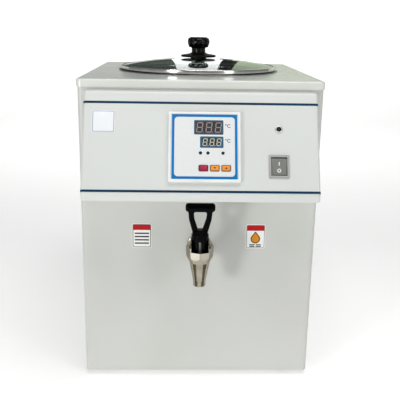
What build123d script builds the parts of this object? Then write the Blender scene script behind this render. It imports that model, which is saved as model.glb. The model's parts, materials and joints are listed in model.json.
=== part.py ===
from build123d import *
from math import atan2, cos, radians, sin, tan
import os

os.makedirs("parts", exist_ok=True)

# Paraffin wax dispenser: a heated pot under a glass lid, in a sheet-steel casing with a slanted
# control box and a self-closing tap on its front. Sizes are in millimetres: x to the right,
# y to the rear, z up from the bench. While the pieces are built, y = 0 is the casing's front
# face; when they are saved they all move in y, so that the origin is the middle of the footprint.

# --- Casing -----------------------------------------------------------------------------------
CASE_W = 338.0              # outside width
CASE_D = 378.0              # outside depth, rear panel included
TOP_Z = 449.0               # top face of the cover
FOOT_H = 8.0                # bench to the underside of the casing
SHEET = 1.2                 # painted steel sheet
BEND_R = 6.0                # outside radius of the casing's upright corners
REAR_FLANGE = 16.0          # flanges that the rear panel is screwed to
VENT_ROWS = 6               # slots in each group of vents
VENT_PITCH = 12.0
VENT_X = 62.0
VENT_TOP = 70.0             # first upper slot below the wall's top
VENT_LOW = 40.0             # first lower slot above the casing's underside
OVERHANG = 1.5              # cover past the casing on each side
SKIRT = 11.2                # depth of the cover's skirt
COVER_EDGE_R = 3.0          # bend along the cover's top edges
BASE_FLANGE = 18.0          # turned-up edges of the base plate
FOOT_R = 12.0               # rubber foot, at the base plate
FOOT_INSET = 32.0           # foot axis from the casing's sides
FOOT_SCREW_R = 2.5
FOOT_SCREW_SEAT = 4.0       # depth of the recess for the screw's head
SCREW_R = 1.75              # thread of the sheet-metal screws
SCREW_HEAD_R = 3.4
SCREW_HEAD_H = 1.6
HOLE_CLEARANCE = 0.2        # between a screw or a barrel and the hole it passes through

# --- Pot and lid ------------------------------------------------------------------------------
POT_R = 120.0               # inside radius
POT_WALL = 1.2
POT_CORNER_R = 8.0          # inside radius between floor and wall
POT_FLANGE_R = 129.0        # flange that lies on the cover
POT_IN_COVER = 0.8          # gap between the pot's wall and the hole in the cover
LID_R = 125.6               # outside radius of the lid's steel rim
RIM_SHEET = 0.6
RIM_FOLD = 4.0              # width of the rim's fold over the glass
LID_LIP = 3.6               # depth of the rim's lip in the pot
LID_LIP_GAP = 1.2           # between that lip and the pot's wall
GLASS_T = 4.0
GLASS_RISE = 12.2           # middle of the glass above its edge
SEAL_T = 1.0                # silicone seal under the rim
REST_GAP = 0.3              # between loose pieces that rest on each other
KNOB_SKIRT_R = 28.4
KNOB_SKIRT_EDGE = 3.4       # thickness at its outer edge
KNOB_SKIRT_RISE = 3.6       # cone from that edge up to the stem
KNOB_STEM_R = 11.2
KNOB_STEM_H = 8.0
KNOB_CAP_R = 18.2
KNOB_CAP_FOOT_R = 15.4
KNOB_CAP_H = 16.4
KNOB_FLUTES = 12
KNOB_FLUTE_R = 3.2
KNOB_SCREW_R = 2.5
KNOB_PAD_T = 1.8            # silicone pad between glass and knob

# --- Control box on the front -----------------------------------------------------------------
BOX_W = 316.0
BOX_DROP = 16.0             # top edge of the slanted face below the cover's top
BOX_TOP_REACH = 12.4        # how far that edge stands out from the casing
BOX_LOW_REACH = 72.6        # how far the lower lip stands out
FACE_DROP = 123.9           # height of the slanted face
LIP_H = 11.7                # upright lip below it
BOX_SHELF = 1.5             # top of the box above the slanted face's top edge
BOX_END_R = 4.0             # rounding along the box's ends
BOX_TOP_R = 5.0
BOX_LIP_R = 12.0            # roll from the slanted face into the lip
STRIPE_W = 2.4
STRIPE_T = 0.3
STRIPE_TOP = 14.7           # stripe centres, down the slanted face
STRIPE_LOW = 135.2

# Down the slanted face from its top edge, and across from the middle.
CTRL_X, CTRL_DOWN = 4.3, 76.0
PLATE_X, PLATE_DOWN = -130.3, 41.6
LAMP_X, LAMP_DOWN = 103.6, 50.2
SWITCH_X, SWITCH_DOWN = 103.1, 101.2
PLATE_SIZE = 31.0
PLATE_T = 0.8

# --- Temperature controller -------------------------------------------------------------------
CTRL_SIZE = 96.0            # front bezel
CTRL_CASE = CTRL_SIZE - 5.0 # housing behind the panel
CTRL_DEPTH = 54.0
CTRL_WALL = 2.0
BEZEL_H = 6.0
BEZEL_SINK = 1.0            # faceplate below the bezel's edge
FACE_SIZE = CTRL_SIZE - 7.6 # faceplate
FACE_T = 1.5
GRID = CTRL_SIZE / 96.0     # the faceplate is laid out on a 96 mm front, and scaled with it
WINDOWS = [(53.4, 21.8, 38.6 * GRID, 19.5 * GRID), (57.4, 42.0, 30.6 * GRID, 15.2 * GRID)]
KEY_W, KEY_H = 12.3 * GRID, 8.3 * GRID
KEY_DOWN = 77.2
KEY_X = {"key_red": 46.4, "key_down": 61.4, "key_up": 76.4}
KEY_PROUD = 1.2
KEY_GAP = 0.3
KEY_TRAVEL = 0.8
LED_X = [42.5, 52.4, 72.2]
LED_DOWN = 56.8
LED_R = 2.0

# --- Lamp and rocker switch -------------------------------------------------------------------
LAMP_R = 5.1
LAMP_BARREL_R = 4.0
LAMP_LENS_R = 3.5
SWITCH_W, SWITCH_H = 25.5, 31.2
SWITCH_BEZEL_T = 2.0
ROCKER_W = 20.6
ROCKER_R = 12.2             # ends of the rocker, round its pivot
ROCKER_GAP = 0.4
ROCKER_PIVOT = 4.0          # pivot below the panel's face
ROCKER_THROW = 14.0         # degrees from off to on
TRUNNION_R = 1.5

# --- Tap: heights are from the rim of the tap body --------------------------------------------
TAP_REACH = 58.0            # spout axis in front of the casing
TAP_TOP_GAP = 5.9           # handle below the control box
HANDLE_TOP = 69.0
HANDLE_W = 40.2
BAR_R = 5.4
HANDLE_T = 9.0              # thickness of the loop
HUB_R = 11.85
HUB_LEDGE_GAP = 0.3
NECK_W = 20.4
NECK_Z = 27.0
PIN_Z = 9.8
PIN_R = 1.6
RUN_CLEARANCE = 0.08        # radial, shafts in their holes
TILT = 55.0                 # degrees that the handle is pulled forward
LIFT = 4.0                  # the stem's rise over that tilt
TANG_T = 3.6
TANG_TOP = 6.4              # end of the tang above the pin
STEM_R = 3.5
BONNET_R = 19.1             # across the corners of its octagon
BONNET_TOP_R = 9.4
BONNET_TOP = 25.0
BONNET_SHOULDER = 8.0
BONNET_BASE = 3.5
BODY_R = 18.6               # across the corners
BODY_HEAD = 13.5            # height of the octagonal head
CONE_TOP_R = 14.2
LIP_TOP_Z = -40.5
SPOUT_R = 8.0
SPOUT_END = -48.7
CHAMBER_R = 12.4
BORE_R = 6.0
SEAT_Z = -15.5
SHANK_Z = -10.0
SHANK_R = 8.3
BOSS_R = 9.6
SHANK_INSIDE = 27.0         # shank's end behind the casing's front face
SPRING_R = 6.2
SPRING_WIRE_R = 0.5
SPRING_TURNS = 4.0

# --- Inside the casing ------------------------------------------------------------------------
PIPE_HEIGHT = 16.5          # outlet pipe's axis above the pot's floor
HEATER_T = 2.5
HEATER_H = 96.0
CARTRIDGE_R = 3.0
JACKET_T = 14.0
JACKET_GAP = 0.3
PROBE_R = 3.0
PROBE_ANGLE = -52.0         # degrees from +x, seen from above
LEAD_R = 2.2
INLET_X, INLET_Z = -96.0, 62.0
INLET_W, INLET_H = 31.0, 50.0
INLET_PROUD = 3.0
INLET_DEPTH = 30.0
DRAWER_W, DRAWER_H = 22.0, 11.0
FUSE_R = 2.6
LABEL_W, LABEL_H, LABEL_T = 28.5, 37.0, 0.3
LABEL_X, LABEL_RIM_UP = 82.4, 3.0

# --- Levels and places that follow from the sizes above ---------------------------------------
BOX_TOP_Z = TOP_Z - BOX_DROP
LIP_TOP = BOX_TOP_Z - FACE_DROP
BOX_BOTTOM_Z = LIP_TOP - LIP_H
SLANT = atan2(BOX_LOW_REACH - BOX_TOP_REACH, FACE_DROP)
WALL_TOP = TOP_Z - SHEET
POT_Y = CASE_D / 2
RIM_Z = BOX_BOTTOM_Z - TAP_TOP_GAP - HANDLE_TOP
OUTLET_Z = RIM_Z + SHANK_Z
FLOOR_Z = OUTLET_Z - PIPE_HEIGHT
FLANGE_Z = TOP_Z + POT_WALL
LID_Z = FLANGE_Z + REST_GAP
RIM_BOTTOM = LID_Z + SEAL_T
GLASS_EDGE = RIM_BOTTOM + RIM_SHEET
GLASS_APEX = GLASS_EDGE + GLASS_T + GLASS_RISE
GLASS_R = LID_R - RIM_SHEET - REST_GAP
GLASS_BALL_R = (GLASS_R ** 2 + GLASS_RISE ** 2) / (2 * GLASS_RISE)
SKIRT_Z = GLASS_APEX + KNOB_PAD_T
STEM_Z = SKIRT_Z + KNOB_SKIRT_EDGE + KNOB_SKIRT_RISE
CAP_Z = STEM_Z + KNOB_STEM_H
FRONT_REACH = TAP_REACH + BONNET_R
REAR_REACH = CASE_D + INLET_PROUD
MIDDLE_Y = (REAR_REACH - FRONT_REACH) / 2
LEDGE_Z = BONNET_BASE
CAM_RISE = LIFT / radians(TILT)         # lift for each radian of tilt

FACE = Plane(origin=(0, -BOX_TOP_REACH, BOX_TOP_Z), x_dir=(1, 0, 0),
             z_dir=(0, -cos(SLANT), sin(SLANT))).location
CTRL = FACE * Pos(CTRL_X, -CTRL_DOWN, 0)
SWITCH = FACE * Pos(SWITCH_X, -SWITCH_DOWN, 0)
LAMP = FACE * Pos(LAMP_X, -LAMP_DOWN, 0)
TAP = Pos(0, -TAP_REACH, RIM_Z)
POT = Pos(0, POT_Y, 0)

UP = (Align.CENTER, Align.CENTER, Align.MIN)
DOWN = (Align.CENTER, Align.CENTER, Align.MAX)


# --- Small helpers ----------------------------------------------------------------------------
def span(x, y, z):
    """Block between two limits along each axis."""
    sizes = [high - low for low, high in (x, y, z)]
    middle = [(high + low) / 2 for low, high in (x, y, z)]
    return Pos(*middle) * Box(*sizes)


def rod(radius, start, end):
    """Cylinder from one point to another."""
    run = Vector(*end) - Vector(*start)
    return Plane(origin=start, z_dir=run).location * Cylinder(radius, run.length, align=UP)


def turned(points):
    """Solid turned round z from an outline of (radius, height) points."""
    return revolve(make_face(Plane.XZ * Polyline(*points, close=True)), Axis.Z)


def side_outline(points):
    """Face across the x direction from (y, z) points."""
    return make_face(Plane.YZ * Polyline(*points, close=True))


def along_x(face, width):
    """Solid of a face across x, centred on x = 0."""
    return extrude(face, width / 2, both=True)


def block(width, height, low, high, radius=0.0):
    """Block in a panel's own frame, from one level above the panel to another."""
    outline = RectangleRounded(width, height, radius) if radius else Rectangle(width, height)
    return Pos(0, 0, low) * extrude(outline, high - low)


def octagon(corner_r, low, high):
    """Upright octagonal bar with a corner to the front."""
    return Pos(0, 0, low) * extrude(RegularPolygon(corner_r, 8), high - low)


def hexagon_y(across, start, end, z):
    """Hexagonal bar along y."""
    bar = extrude(RegularPolygon(across / 2, 6, major_radius=False), end - start)
    return Plane(origin=(0, start, z), z_dir=(0, 1, 0)).location * bar


def casing_plan(inset):
    """Plan of the casing's walls, drawn inwards."""
    depth = CASE_D - SHEET
    return Pos(0, depth / 2) * RectangleRounded(CASE_W - 2 * inset, depth - 2 * inset, BEND_R - inset)


# --- Casing -----------------------------------------------------------------------------------
REAR_SCREWS = [(side * (CASE_W / 2 - BEND_R - REAR_FLANGE / 2), z) for side in (-1, 1)
               for z in (FOOT_H + 24, (FOOT_H + WALL_TOP) / 2, WALL_TOP - 28)]
COVER_SCREWS = [(side, y) for side in (-1, 1) for y in (CASE_D * 0.25, CASE_D * 0.75)]
COVER_SCREW_Z = TOP_Z - SKIRT / 2 - 1
FEET = [(x, y) for x in (-CASE_W / 2 + FOOT_INSET, CASE_W / 2 - FOOT_INSET)
        for y in (FOOT_INSET, CASE_D - FOOT_INSET)]


def casing_wrap():
    """Front and both sides in one folded sheet, with flanges for the rear panel."""
    depth = CASE_D - SHEET
    wrap = Pos(0, 0, FOOT_H) * extrude(casing_plan(0) - casing_plan(SHEET), WALL_TOP - FOOT_H)
    mouth = CASE_W / 2 - BEND_R - REAR_FLANGE
    wrap -= span((-mouth, mouth), (depth - 3 * SHEET, depth + SHEET), (0, TOP_Z))
    wrap -= span((CTRL_X - 56, SWITCH_X + 22), (-SHEET, 2 * SHEET),
                 (BOX_BOTTOM_Z + 6, BOX_TOP_Z - 12))
    wrap -= rod(SHANK_R + HOLE_CLEARANCE, (0, -SHEET, OUTLET_Z), (0, 2 * SHEET, OUTLET_Z))
    for x, z in REAR_SCREWS:
        wrap -= rod(SCREW_R, (x, depth - 3 * SHEET, z), (x, depth + SHEET, z))
    for side, y in COVER_SCREWS:
        edge = side * CASE_W / 2
        wrap -= rod(SCREW_R, (edge - side * 3 * SHEET, y, COVER_SCREW_Z), (edge, y, COVER_SCREW_Z))
    return wrap


def rear_panel():
    """Flat panel with vent slots and the cut-out of the power inlet."""
    y = (CASE_D - SHEET, CASE_D)
    half = CASE_W / 2 - BEND_R
    panel = span((-half, half), y, (FOOT_H, WALL_TOP))
    panel -= span((INLET_X - INLET_W / 2 + 2, INLET_X + INLET_W / 2 - 2), (y[0] - 1, y[1] + 1),
                  (INLET_Z - INLET_H / 2 + 2, INLET_Z + INLET_H / 2 - 2))
    slot = extrude(Plane.XZ * SlotOverall(84, 5), 3 * SHEET, both=True)
    for row in range(VENT_ROWS):
        for x in (-VENT_X, VENT_X):
            panel -= Pos(x, CASE_D, WALL_TOP - VENT_TOP - VENT_PITCH * row) * slot
        panel -= Pos(VENT_X, CASE_D, FOOT_H + VENT_LOW + VENT_PITCH * row) * slot
    for x, z in REAR_SCREWS:
        panel -= rod(SCREW_R + HOLE_CLEARANCE, (x, y[0] - 1, z), (x, y[1] + 1, z))
    return panel


def base_plate():
    """Tray that closes the casing's underside."""
    tray = Pos(0, 0, FOOT_H) * extrude(casing_plan(SHEET), BASE_FLANGE)
    tray -= Pos(0, 0, FOOT_H + SHEET) * extrude(casing_plan(2 * SHEET), BASE_FLANGE)
    for x, y in FEET:
        tray -= rod(FOOT_SCREW_R, (x, y, 0), (x, y, FOOT_H + 2 * SHEET))
    return tray


def top_cover():
    """Lid of the casing: a shallow pan turned upside down, with the hole for the pot."""
    outer = Pos(0, CASE_D / 2, TOP_Z - SKIRT) * extrude(
        RectangleRounded(CASE_W + 2 * OVERHANG, CASE_D + 2 * OVERHANG, BEND_R + OVERHANG), SKIRT)
    outer = fillet(outer.edges().group_by(Axis.Z)[-1], COVER_EDGE_R)
    gap = OVERHANG - SHEET
    inner = Pos(0, CASE_D / 2, TOP_Z - SKIRT - 1) * extrude(
        RectangleRounded(CASE_W + 2 * gap, CASE_D + 2 * gap, BEND_R + gap), SKIRT + 1 - SHEET)
    cover = outer - inner
    cover -= POT * Pos(0, 0, TOP_Z - 2 * SHEET) * Cylinder(
        POT_R + POT_WALL + POT_IN_COVER, 4 * SHEET, align=UP)
    for side, y in COVER_SCREWS:
        edge = side * CASE_W / 2
        cover -= rod(SCREW_R + HOLE_CLEARANCE, (edge, y, COVER_SCREW_Z),
                     (edge + side * 3 * OVERHANG, y, COVER_SCREW_Z))
    return cover


def screw(length, radius=SCREW_R, head_r=SCREW_HEAD_R, head_h=SCREW_HEAD_H):
    """Pan-head screw along z, seated at z = 0, with a cross slot in its head."""
    head = fillet(Cylinder(head_r, head_h, align=UP).edges().group_by(Axis.Z)[-1], head_h * 0.45)
    slot = Box(head_r * 1.1, head_r * 0.26, head_h * 0.9, align=UP)
    for turn in (0, 90):
        head -= Pos(0, 0, head_h * 0.6) * Rot(0, 0, turn) * slot
    return head + Cylinder(radius, length, align=DOWN)


def casing_screws():
    """Screws of the rear panel, the cover and the feet, the last with nuts on the base plate."""
    rear = [Pos(x, CASE_D, z) * Rot(-90, 0, 0) * screw(7.0) for x, z in REAR_SCREWS]
    sides = [Pos(side * (CASE_W / 2 + OVERHANG), y, COVER_SCREW_Z) * Rot(0, side * 90, 0)
             * screw(6.5) for side, y in COVER_SCREWS]
    up = Pos(0, 0, FOOT_SCREW_SEAT) * Rot(180, 0, 0) * screw(12.0, FOOT_SCREW_R, 4.8, 2.6)
    up += Pos(0, 0, FOOT_H + SHEET) * extrude(RegularPolygon(4.0, 6, major_radius=False), 4.0)
    return Compound(rear + sides + [Pos(x, y, 0) * up for x, y in FEET])


def rubber_feet():
    """Four tapered feet, each with a recess for its screw."""
    foot = loft([Circle(FOOT_R - 1.5), Pos(0, 0, FOOT_H) * Circle(FOOT_R)])
    foot -= Cylinder(5.5, FOOT_SCREW_SEAT, align=UP)
    foot -= Cylinder(FOOT_SCREW_R + HOLE_CLEARANCE, FOOT_H, align=UP)
    return Compound([Pos(x, y, 0) * foot for x, y in FEET])


# --- Control box ------------------------------------------------------------------------------
def box_side(inset):
    """Side outline of the control box, drawn inwards by a wall."""
    run = inset / cos(SLANT)
    shelf_z = BOX_TOP_Z + BOX_SHELF - inset
    shelf_y = -BOX_TOP_REACH + run + (shelf_z - BOX_TOP_Z) * tan(SLANT)
    lip_y = -BOX_LOW_REACH + inset
    lip_z = LIP_TOP + (inset - run) / tan(SLANT)
    return [(0, shelf_z), (shelf_y, shelf_z), (lip_y, lip_z),
            (lip_y, BOX_BOTTOM_Z + inset), (0, BOX_BOTTOM_Z + inset)]


def box_solid(inset):
    """Wedge of the control box with rolled front edges and rounded ends."""
    points = box_side(inset)
    wedge = along_x(side_outline(points), BOX_W - 2 * inset)
    for point, radius in ((points[1], BOX_TOP_R), (points[2], BOX_LIP_R)):
        bend = wedge.edges().filter_by(Axis.X).sort_by_distance((0, *point))[0]
        wedge = fillet(bend, radius - inset)
    ends = [edge for edge in wedge.edges()
            if abs(abs(edge.center().X) - (BOX_W / 2 - inset)) < 0.01
            and edge.center().Y < -0.01]
    return fillet(ends, BOX_END_R - inset) if inset < BOX_END_R else wedge


def control_box():
    """Painted steel box, open to the casing, with the cut-outs of what it carries."""
    box = box_solid(0) - box_solid(SHEET)
    half = BOX_W / 2 - SHEET
    box -= span((-half, half), (-2, 1), (BOX_BOTTOM_Z + SHEET, BOX_TOP_Z + BOX_SHELF - SHEET))
    cut = (-3 * SHEET, SHEET)
    box -= CTRL * block(CTRL_CASE + 1, CTRL_CASE + 1, *cut)
    box -= SWITCH * block(SWITCH_W - 1.6, SWITCH_H - 3.6, *cut)
    box -= LAMP * Pos(0, 0, -3 * SHEET) * Cylinder(LAMP_BARREL_R + HOLE_CLEARANCE, 5 * SHEET, align=UP)
    return box


def accent_stripes():
    """Two thin dark stripes across the slanted face."""
    stripe = block(BOX_W - 2 * BOX_END_R, STRIPE_W, 0, STRIPE_T)
    return Compound([FACE * Pos(0, -down, 0) * stripe for down in (STRIPE_TOP, STRIPE_LOW)])


def blank_plate():
    """Plain square plate on the left of the slanted face."""
    return FACE * Pos(PLATE_X, -PLATE_DOWN, 0) * block(PLATE_SIZE, PLATE_SIZE, 0, PLATE_T, 0.6)


def front_labels():
    """Two small labels on the casing, either side of the tap."""
    label = extrude(RectangleRounded(LABEL_W, LABEL_H, 2.5), LABEL_T)
    upright = Plane(origin=(0, 0, RIM_Z + LABEL_RIM_UP), x_dir=(1, 0, 0), z_dir=(0, -1, 0)).location
    return Compound([upright * Pos(side * LABEL_X, 0, 0) * label for side in (-1, 1)])


# --- Temperature controller -------------------------------------------------------------------
BEZEL_FLOOR = BEZEL_H - BEZEL_SINK - FACE_T
FACE_TOP = BEZEL_H - BEZEL_SINK
BOARD_TOP = -3.0
BOARD_T = 1.6
PLATE_FLANGE = 1.0
PLUNGER_GAP = KEY_TRAVEL + 0.3
STRIP_X = [(9.5 * column - 33.25) * GRID for column in range(8)]
STRIP_Y = -19.0
STRIP_SCREW = -CTRL_DEPTH - 6.5


def from_corner(x, down):
    """Place in the controller's frame of a point laid out from its top left corner."""
    return Pos(x * GRID - CTRL_SIZE / 2, CTRL_SIZE / 2 - down * GRID, 0)


def controller_bezel():
    """Front frame with a recess for the faceplate."""
    frame = block(CTRL_SIZE, CTRL_SIZE, 0, BEZEL_H, 2.0)
    frame = fillet(frame.faces().sort_by(Axis.Z)[-1].edges(), 1.5)
    frame -= block(FACE_SIZE + 0.4, FACE_SIZE + 0.4, BEZEL_FLOOR, BEZEL_H + 1, 1.2)
    frame -= block(CTRL_CASE - 2 * CTRL_WALL, CTRL_CASE - 2 * CTRL_WALL, -1, BEZEL_H)
    return CTRL * frame


def controller_housing():
    """Deep housing behind the panel, open to the front."""
    case = block(CTRL_CASE, CTRL_CASE, -CTRL_DEPTH, 0, 2.0)
    room = CTRL_CASE - 2 * CTRL_WALL
    case -= block(room, room, -CTRL_DEPTH + CTRL_WALL, 1)
    for row in range(4):
        vent = block(CTRL_CASE / 2, 2.5, -CTRL_DEPTH - 1, -CTRL_DEPTH + 2 * CTRL_WALL)
        case -= Pos(0, CTRL_CASE * 0.4 - 7 * row, 0) * vent
    return CTRL * case


def controller_faceplate():
    """Faceplate with two windows, three lamp holes and three key holes."""
    plate = block(FACE_SIZE, FACE_SIZE, BEZEL_FLOOR, FACE_TOP, 1.0)
    for x, down, width, height in WINDOWS:
        plate -= from_corner(x, down) * block(width, height, 0, BEZEL_H, 1.2)
    for x in KEY_X.values():
        hole = block(KEY_W + 2 * KEY_GAP, KEY_H + 2 * KEY_GAP, 0, BEZEL_H, 1.7)
        plate -= from_corner(x, KEY_DOWN) * hole
    for x in LED_X:
        plate -= from_corner(x, LED_DOWN) * Cylinder(LED_R, 3 * BEZEL_H)
    return CTRL * plate


def display_windows():
    """Tinted windows, flush in the faceplate."""
    panes = [from_corner(x, down) * block(width, height, BEZEL_FLOOR + 0.3, FACE_TOP - 0.1, 1.2)
             for x, down, width, height in WINDOWS]
    return Compound([CTRL * pane for pane in panes])


def pilot_leds():
    """Three light-emitting diodes that stand in the faceplate's holes."""
    led = Cylinder(LED_R - 0.1, FACE_TOP - 0.4 - BOARD_TOP, align=UP)
    return Compound([CTRL * from_corner(x, LED_DOWN) * Pos(0, 0, BOARD_TOP) * led for x in LED_X])


def circuit_board():
    """Display board with its displays and push switches, and two boards that stand behind it."""
    size = CTRL_CASE - 2 * CTRL_WALL - 0.6
    board = block(size, size, BOARD_TOP - BOARD_T, BOARD_TOP)
    for x, down, width, height in WINDOWS:
        board += from_corner(x, down) * block(width - 1, height - 1, BOARD_TOP, BEZEL_FLOOR + 0.3)
    low_of_key = FACE_TOP - FACE_T - PLATE_FLANGE - 0.3
    for x in KEY_X.values():
        height = low_of_key - PLUNGER_GAP - BOARD_TOP
        board += from_corner(x, KEY_DOWN) * block(6, 6, BOARD_TOP, BOARD_TOP + height)
    for side in (-1, 1):
        deep = block(1.6, size - 12, -CTRL_DEPTH + 4, BOARD_TOP - BOARD_T)
        board += Pos(side * size * 0.32, 0, 0) * deep
    return CTRL * board


def key(name):
    """Push key: proud cap, and a flange that holds it behind the faceplate."""
    cap = block(KEY_W, KEY_H, BEZEL_FLOOR - 0.3, FACE_TOP + KEY_PROUD, 1.5)
    cap = fillet(cap.faces().sort_by(Axis.Z)[-1].edges(), 0.5)
    cap += block(KEY_W + 1.4, KEY_H + 1.4, BEZEL_FLOOR - 0.3 - PLATE_FLANGE, BEZEL_FLOOR - 0.3, 1.5)
    return CTRL * from_corner(KEY_X[name], KEY_DOWN) * cap


def controller_terminals():
    """Screw-terminal strip on the back of the housing."""
    strip = Pos(0, STRIP_Y - 3, 0) * block(78 * GRID, 18, -CTRL_DEPTH - 9, -CTRL_DEPTH)
    for x in STRIP_X:
        strip -= Pos(x, STRIP_Y, 0) * block(7.6 * GRID, 10, -CTRL_DEPTH - 10, -CTRL_DEPTH - 4)
        strip += Pos(x, STRIP_Y, STRIP_SCREW) * Cylinder(2.6, 3, align=UP)
    return CTRL * strip


def controller_clamps():
    """Two screw brackets that pull the controller against the panel."""
    clamp = block(22, 5, -8 * SHEET, -SHEET) + Pos(0, 1, 0) * block(14, 3, -34, -SHEET)
    upper = Pos(0, CTRL_CASE / 2 + 2.5, 0) * clamp
    return Compound([CTRL * Rot(0, 0, turn) * upper for turn in (90, -90)])


# --- Lamp and switch --------------------------------------------------------------------------
def indicator_bezel():
    """Chromed ring with a threaded barrel through the panel."""
    ring = Cylinder(LAMP_R, 1.6, align=UP)
    ring = fillet(ring.edges().group_by(Axis.Z)[-1], 0.9)
    ring += Cylinder(LAMP_BARREL_R, 14, align=DOWN)
    ring -= Pos(0, 0, -3) * Cylinder(LAMP_LENS_R + 0.05, 10, align=UP)
    return LAMP * ring


def indicator_lens():
    """Domed lens in the ring."""
    lens = Pos(0, 0, -3) * Cylinder(LAMP_LENS_R, 5.2, align=UP)
    lens = fillet(lens.edges().group_by(Axis.Z)[-1], 1.8)
    return LAMP * lens


def indicator_nut():
    """Nut behind the panel."""
    nut = extrude(RegularPolygon(6.0, 6, major_radius=False), 3.0)
    nut -= Cylinder(LAMP_BARREL_R, 8)
    return LAMP * Pos(0, 0, -SHEET - 3.0) * nut


ROOM_W = ROCKER_W + 2 * ROCKER_GAP
ROOM_H = 2 * (ROCKER_R + ROCKER_GAP)
SWITCH_WALL = 1.0
SWITCH_DEPTH = 22.0


def rocker_housing():
    """Snap-in housing with its bezel and the well that the rocker turns in."""
    case = block(SWITCH_W, SWITCH_H, 0, SWITCH_BEZEL_T, 1.0)
    case = fillet(case.faces().sort_by(Axis.Z)[-1].edges(), 0.8)
    case += block(ROOM_W + 2 * SWITCH_WALL, ROOM_H + 2 * SWITCH_WALL, -SWITCH_DEPTH, 0)
    case -= block(ROOM_W, ROOM_H, -13, SWITCH_BEZEL_T + 1)
    case -= Pos(0, 0, -ROCKER_PIVOT) * Rot(0, 90, 0) * Cylinder(
        TRUNNION_R + RUN_CLEARANCE, ROOM_W + 1.6 * SWITCH_WALL)
    return SWITCH * case


def rocker():
    """Rocker in its off position: the lower end is in and the upper end stands out."""
    half = ROCKER_R + 1
    face = [(-half, 0.2), (0, 0.4), (half, 0.4 + half * sin(radians(ROCKER_THROW + 2))),
            (half, -7), (3.5, -7.5), (-3.5, -7.5), (-half, -7)]
    body = along_x(side_outline(face), ROCKER_W)
    body &= Pos(0, 0, -ROCKER_PIVOT) * Rot(0, 90, 0) * Cylinder(ROCKER_R, ROCKER_W)
    body = fillet(body.edges().filter_by(Axis.X).group_by(Axis.Z)[-1], 0.6)
    body += Pos(0, 0, -ROCKER_PIVOT) * Rot(0, 90, 0) * Cylinder(
        TRUNNION_R, ROCKER_W + 2 * ROCKER_GAP + SWITCH_WALL)
    return SWITCH * body


# --- Pot, heater and what is round them -------------------------------------------------------
def pot():
    """Drawn steel pot that hangs by its flange, with holes for the outlet and the probe."""
    outer_r = POT_R + POT_WALL
    outer = Pos(0, 0, FLOOR_Z - POT_WALL) * Cylinder(outer_r, FLANGE_Z - FLOOR_Z + POT_WALL, align=UP)
    outer = fillet(outer.edges().group_by(Axis.Z)[0], POT_CORNER_R + POT_WALL)
    flange = Pos(0, 0, TOP_Z) * Cylinder(POT_FLANGE_R, POT_WALL, align=UP)
    flange = fillet(flange.edges().filter_by(GeomType.CIRCLE), 0.5)
    inner = Pos(0, 0, FLOOR_Z) * Cylinder(POT_R, FLANGE_Z - FLOOR_Z + 1, align=UP)
    inner = fillet(inner.edges().group_by(Axis.Z)[0], POT_CORNER_R)
    shell = POT * (outer + flange - inner)
    shell -= rod(SHANK_R, (0, 0, OUTLET_Z), (0, POT_Y, OUTLET_Z))
    shell -= PROBE_AT * rod(PROBE_R, (POT_R - 10, 0, 0), (POT_R + 20, 0, 0))
    return shell


PROBE_AT = POT * Pos(0, 0, OUTLET_Z) * Rot(0, 0, PROBE_ANGLE)
STRAINER_Z = OUTLET_Z + SHANK_R + 2.0
STRAINER_R = POT_R - 3.0


def strainer():
    """Perforated plate on four legs above the outlet."""
    plate = Pos(0, 0, STRAINER_Z) * Cylinder(STRAINER_R, 1.0, align=UP)
    holes = []
    for ring in range(1, 6):
        count = 6 * ring
        holes += [Rot(0, 0, 360 / count * step) * Pos(ring * 18, 0, STRAINER_Z)
                  * Cylinder(3.5, 4) for step in range(count)]
    plate -= holes
    for turn in (45, 135, 225, 315):
        leg = Pos(100, 0, FLOOR_Z) * Box(1.2, 10, STRAINER_Z - FLOOR_Z, align=UP)
        plate += Rot(0, 0, turn) * leg
    return POT * plate


def band(inner_r, thickness, low, high):
    """Upright ring round the pot."""
    ring = Cylinder(inner_r + thickness, high - low, align=UP)
    return POT * Pos(0, 0, low) * (ring - Cylinder(inner_r, high - low, align=UP))


HEATER_Z = OUTLET_Z + 20
HEATER_TAIL = 12.0          # the mat's lower edge that the jacket leaves free
JACKET_R = POT_R + POT_WALL + HEATER_T + JACKET_GAP


def pot_heater():
    """Silicone heater mat wrapped round the lower half of the pot."""
    mat = band(POT_R + POT_WALL, HEATER_T, HEATER_Z, HEATER_Z + HEATER_H)
    gap = POT * span((-5, 5), (POT_R - 10, POT_R + 20), (HEATER_Z - 1, HEATER_Z + HEATER_H + 1))
    return mat - gap


def insulation_jacket():
    """Thick insulating sleeve round the heater and the pot."""
    return band(JACKET_R, JACKET_T, HEATER_Z + HEATER_TAIL, TOP_Z - SKIRT - 6)


def temperature_probe():
    """Sheathed probe through the pot's wall, with its compression fitting."""
    sheath = rod(PROBE_R, (POT_R - 32, 0, 0), (POT_R + POT_WALL + 16, 0, 0))
    nut = extrude(RegularPolygon(7.0, 6, major_radius=False), 9.0)
    sheath += Pos(POT_R + POT_WALL, 0, 0) * Rot(0, 90, 0) * nut
    return PROBE_AT * sheath


CUTOUT_X = 40.0
CUTOUT_H = 9.0
CUTOUT_TABS = (-4, 4)
CUTOUT_TAB_H = 8.0


def thermal_cutout():
    """Disc thermostat under the pot's floor, with two terminals."""
    cutout = Cylinder(9, CUTOUT_H, align=DOWN) + Box(34, 10, 1.2, align=DOWN)
    for x in CUTOUT_TABS:
        cutout += Pos(x, 0, -CUTOUT_H) * Box(0.8, 6.3, CUTOUT_TAB_H, align=DOWN)
    return Pos(CUTOUT_X, POT_Y, FLOOR_Z - POT_WALL) * cutout


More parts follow.
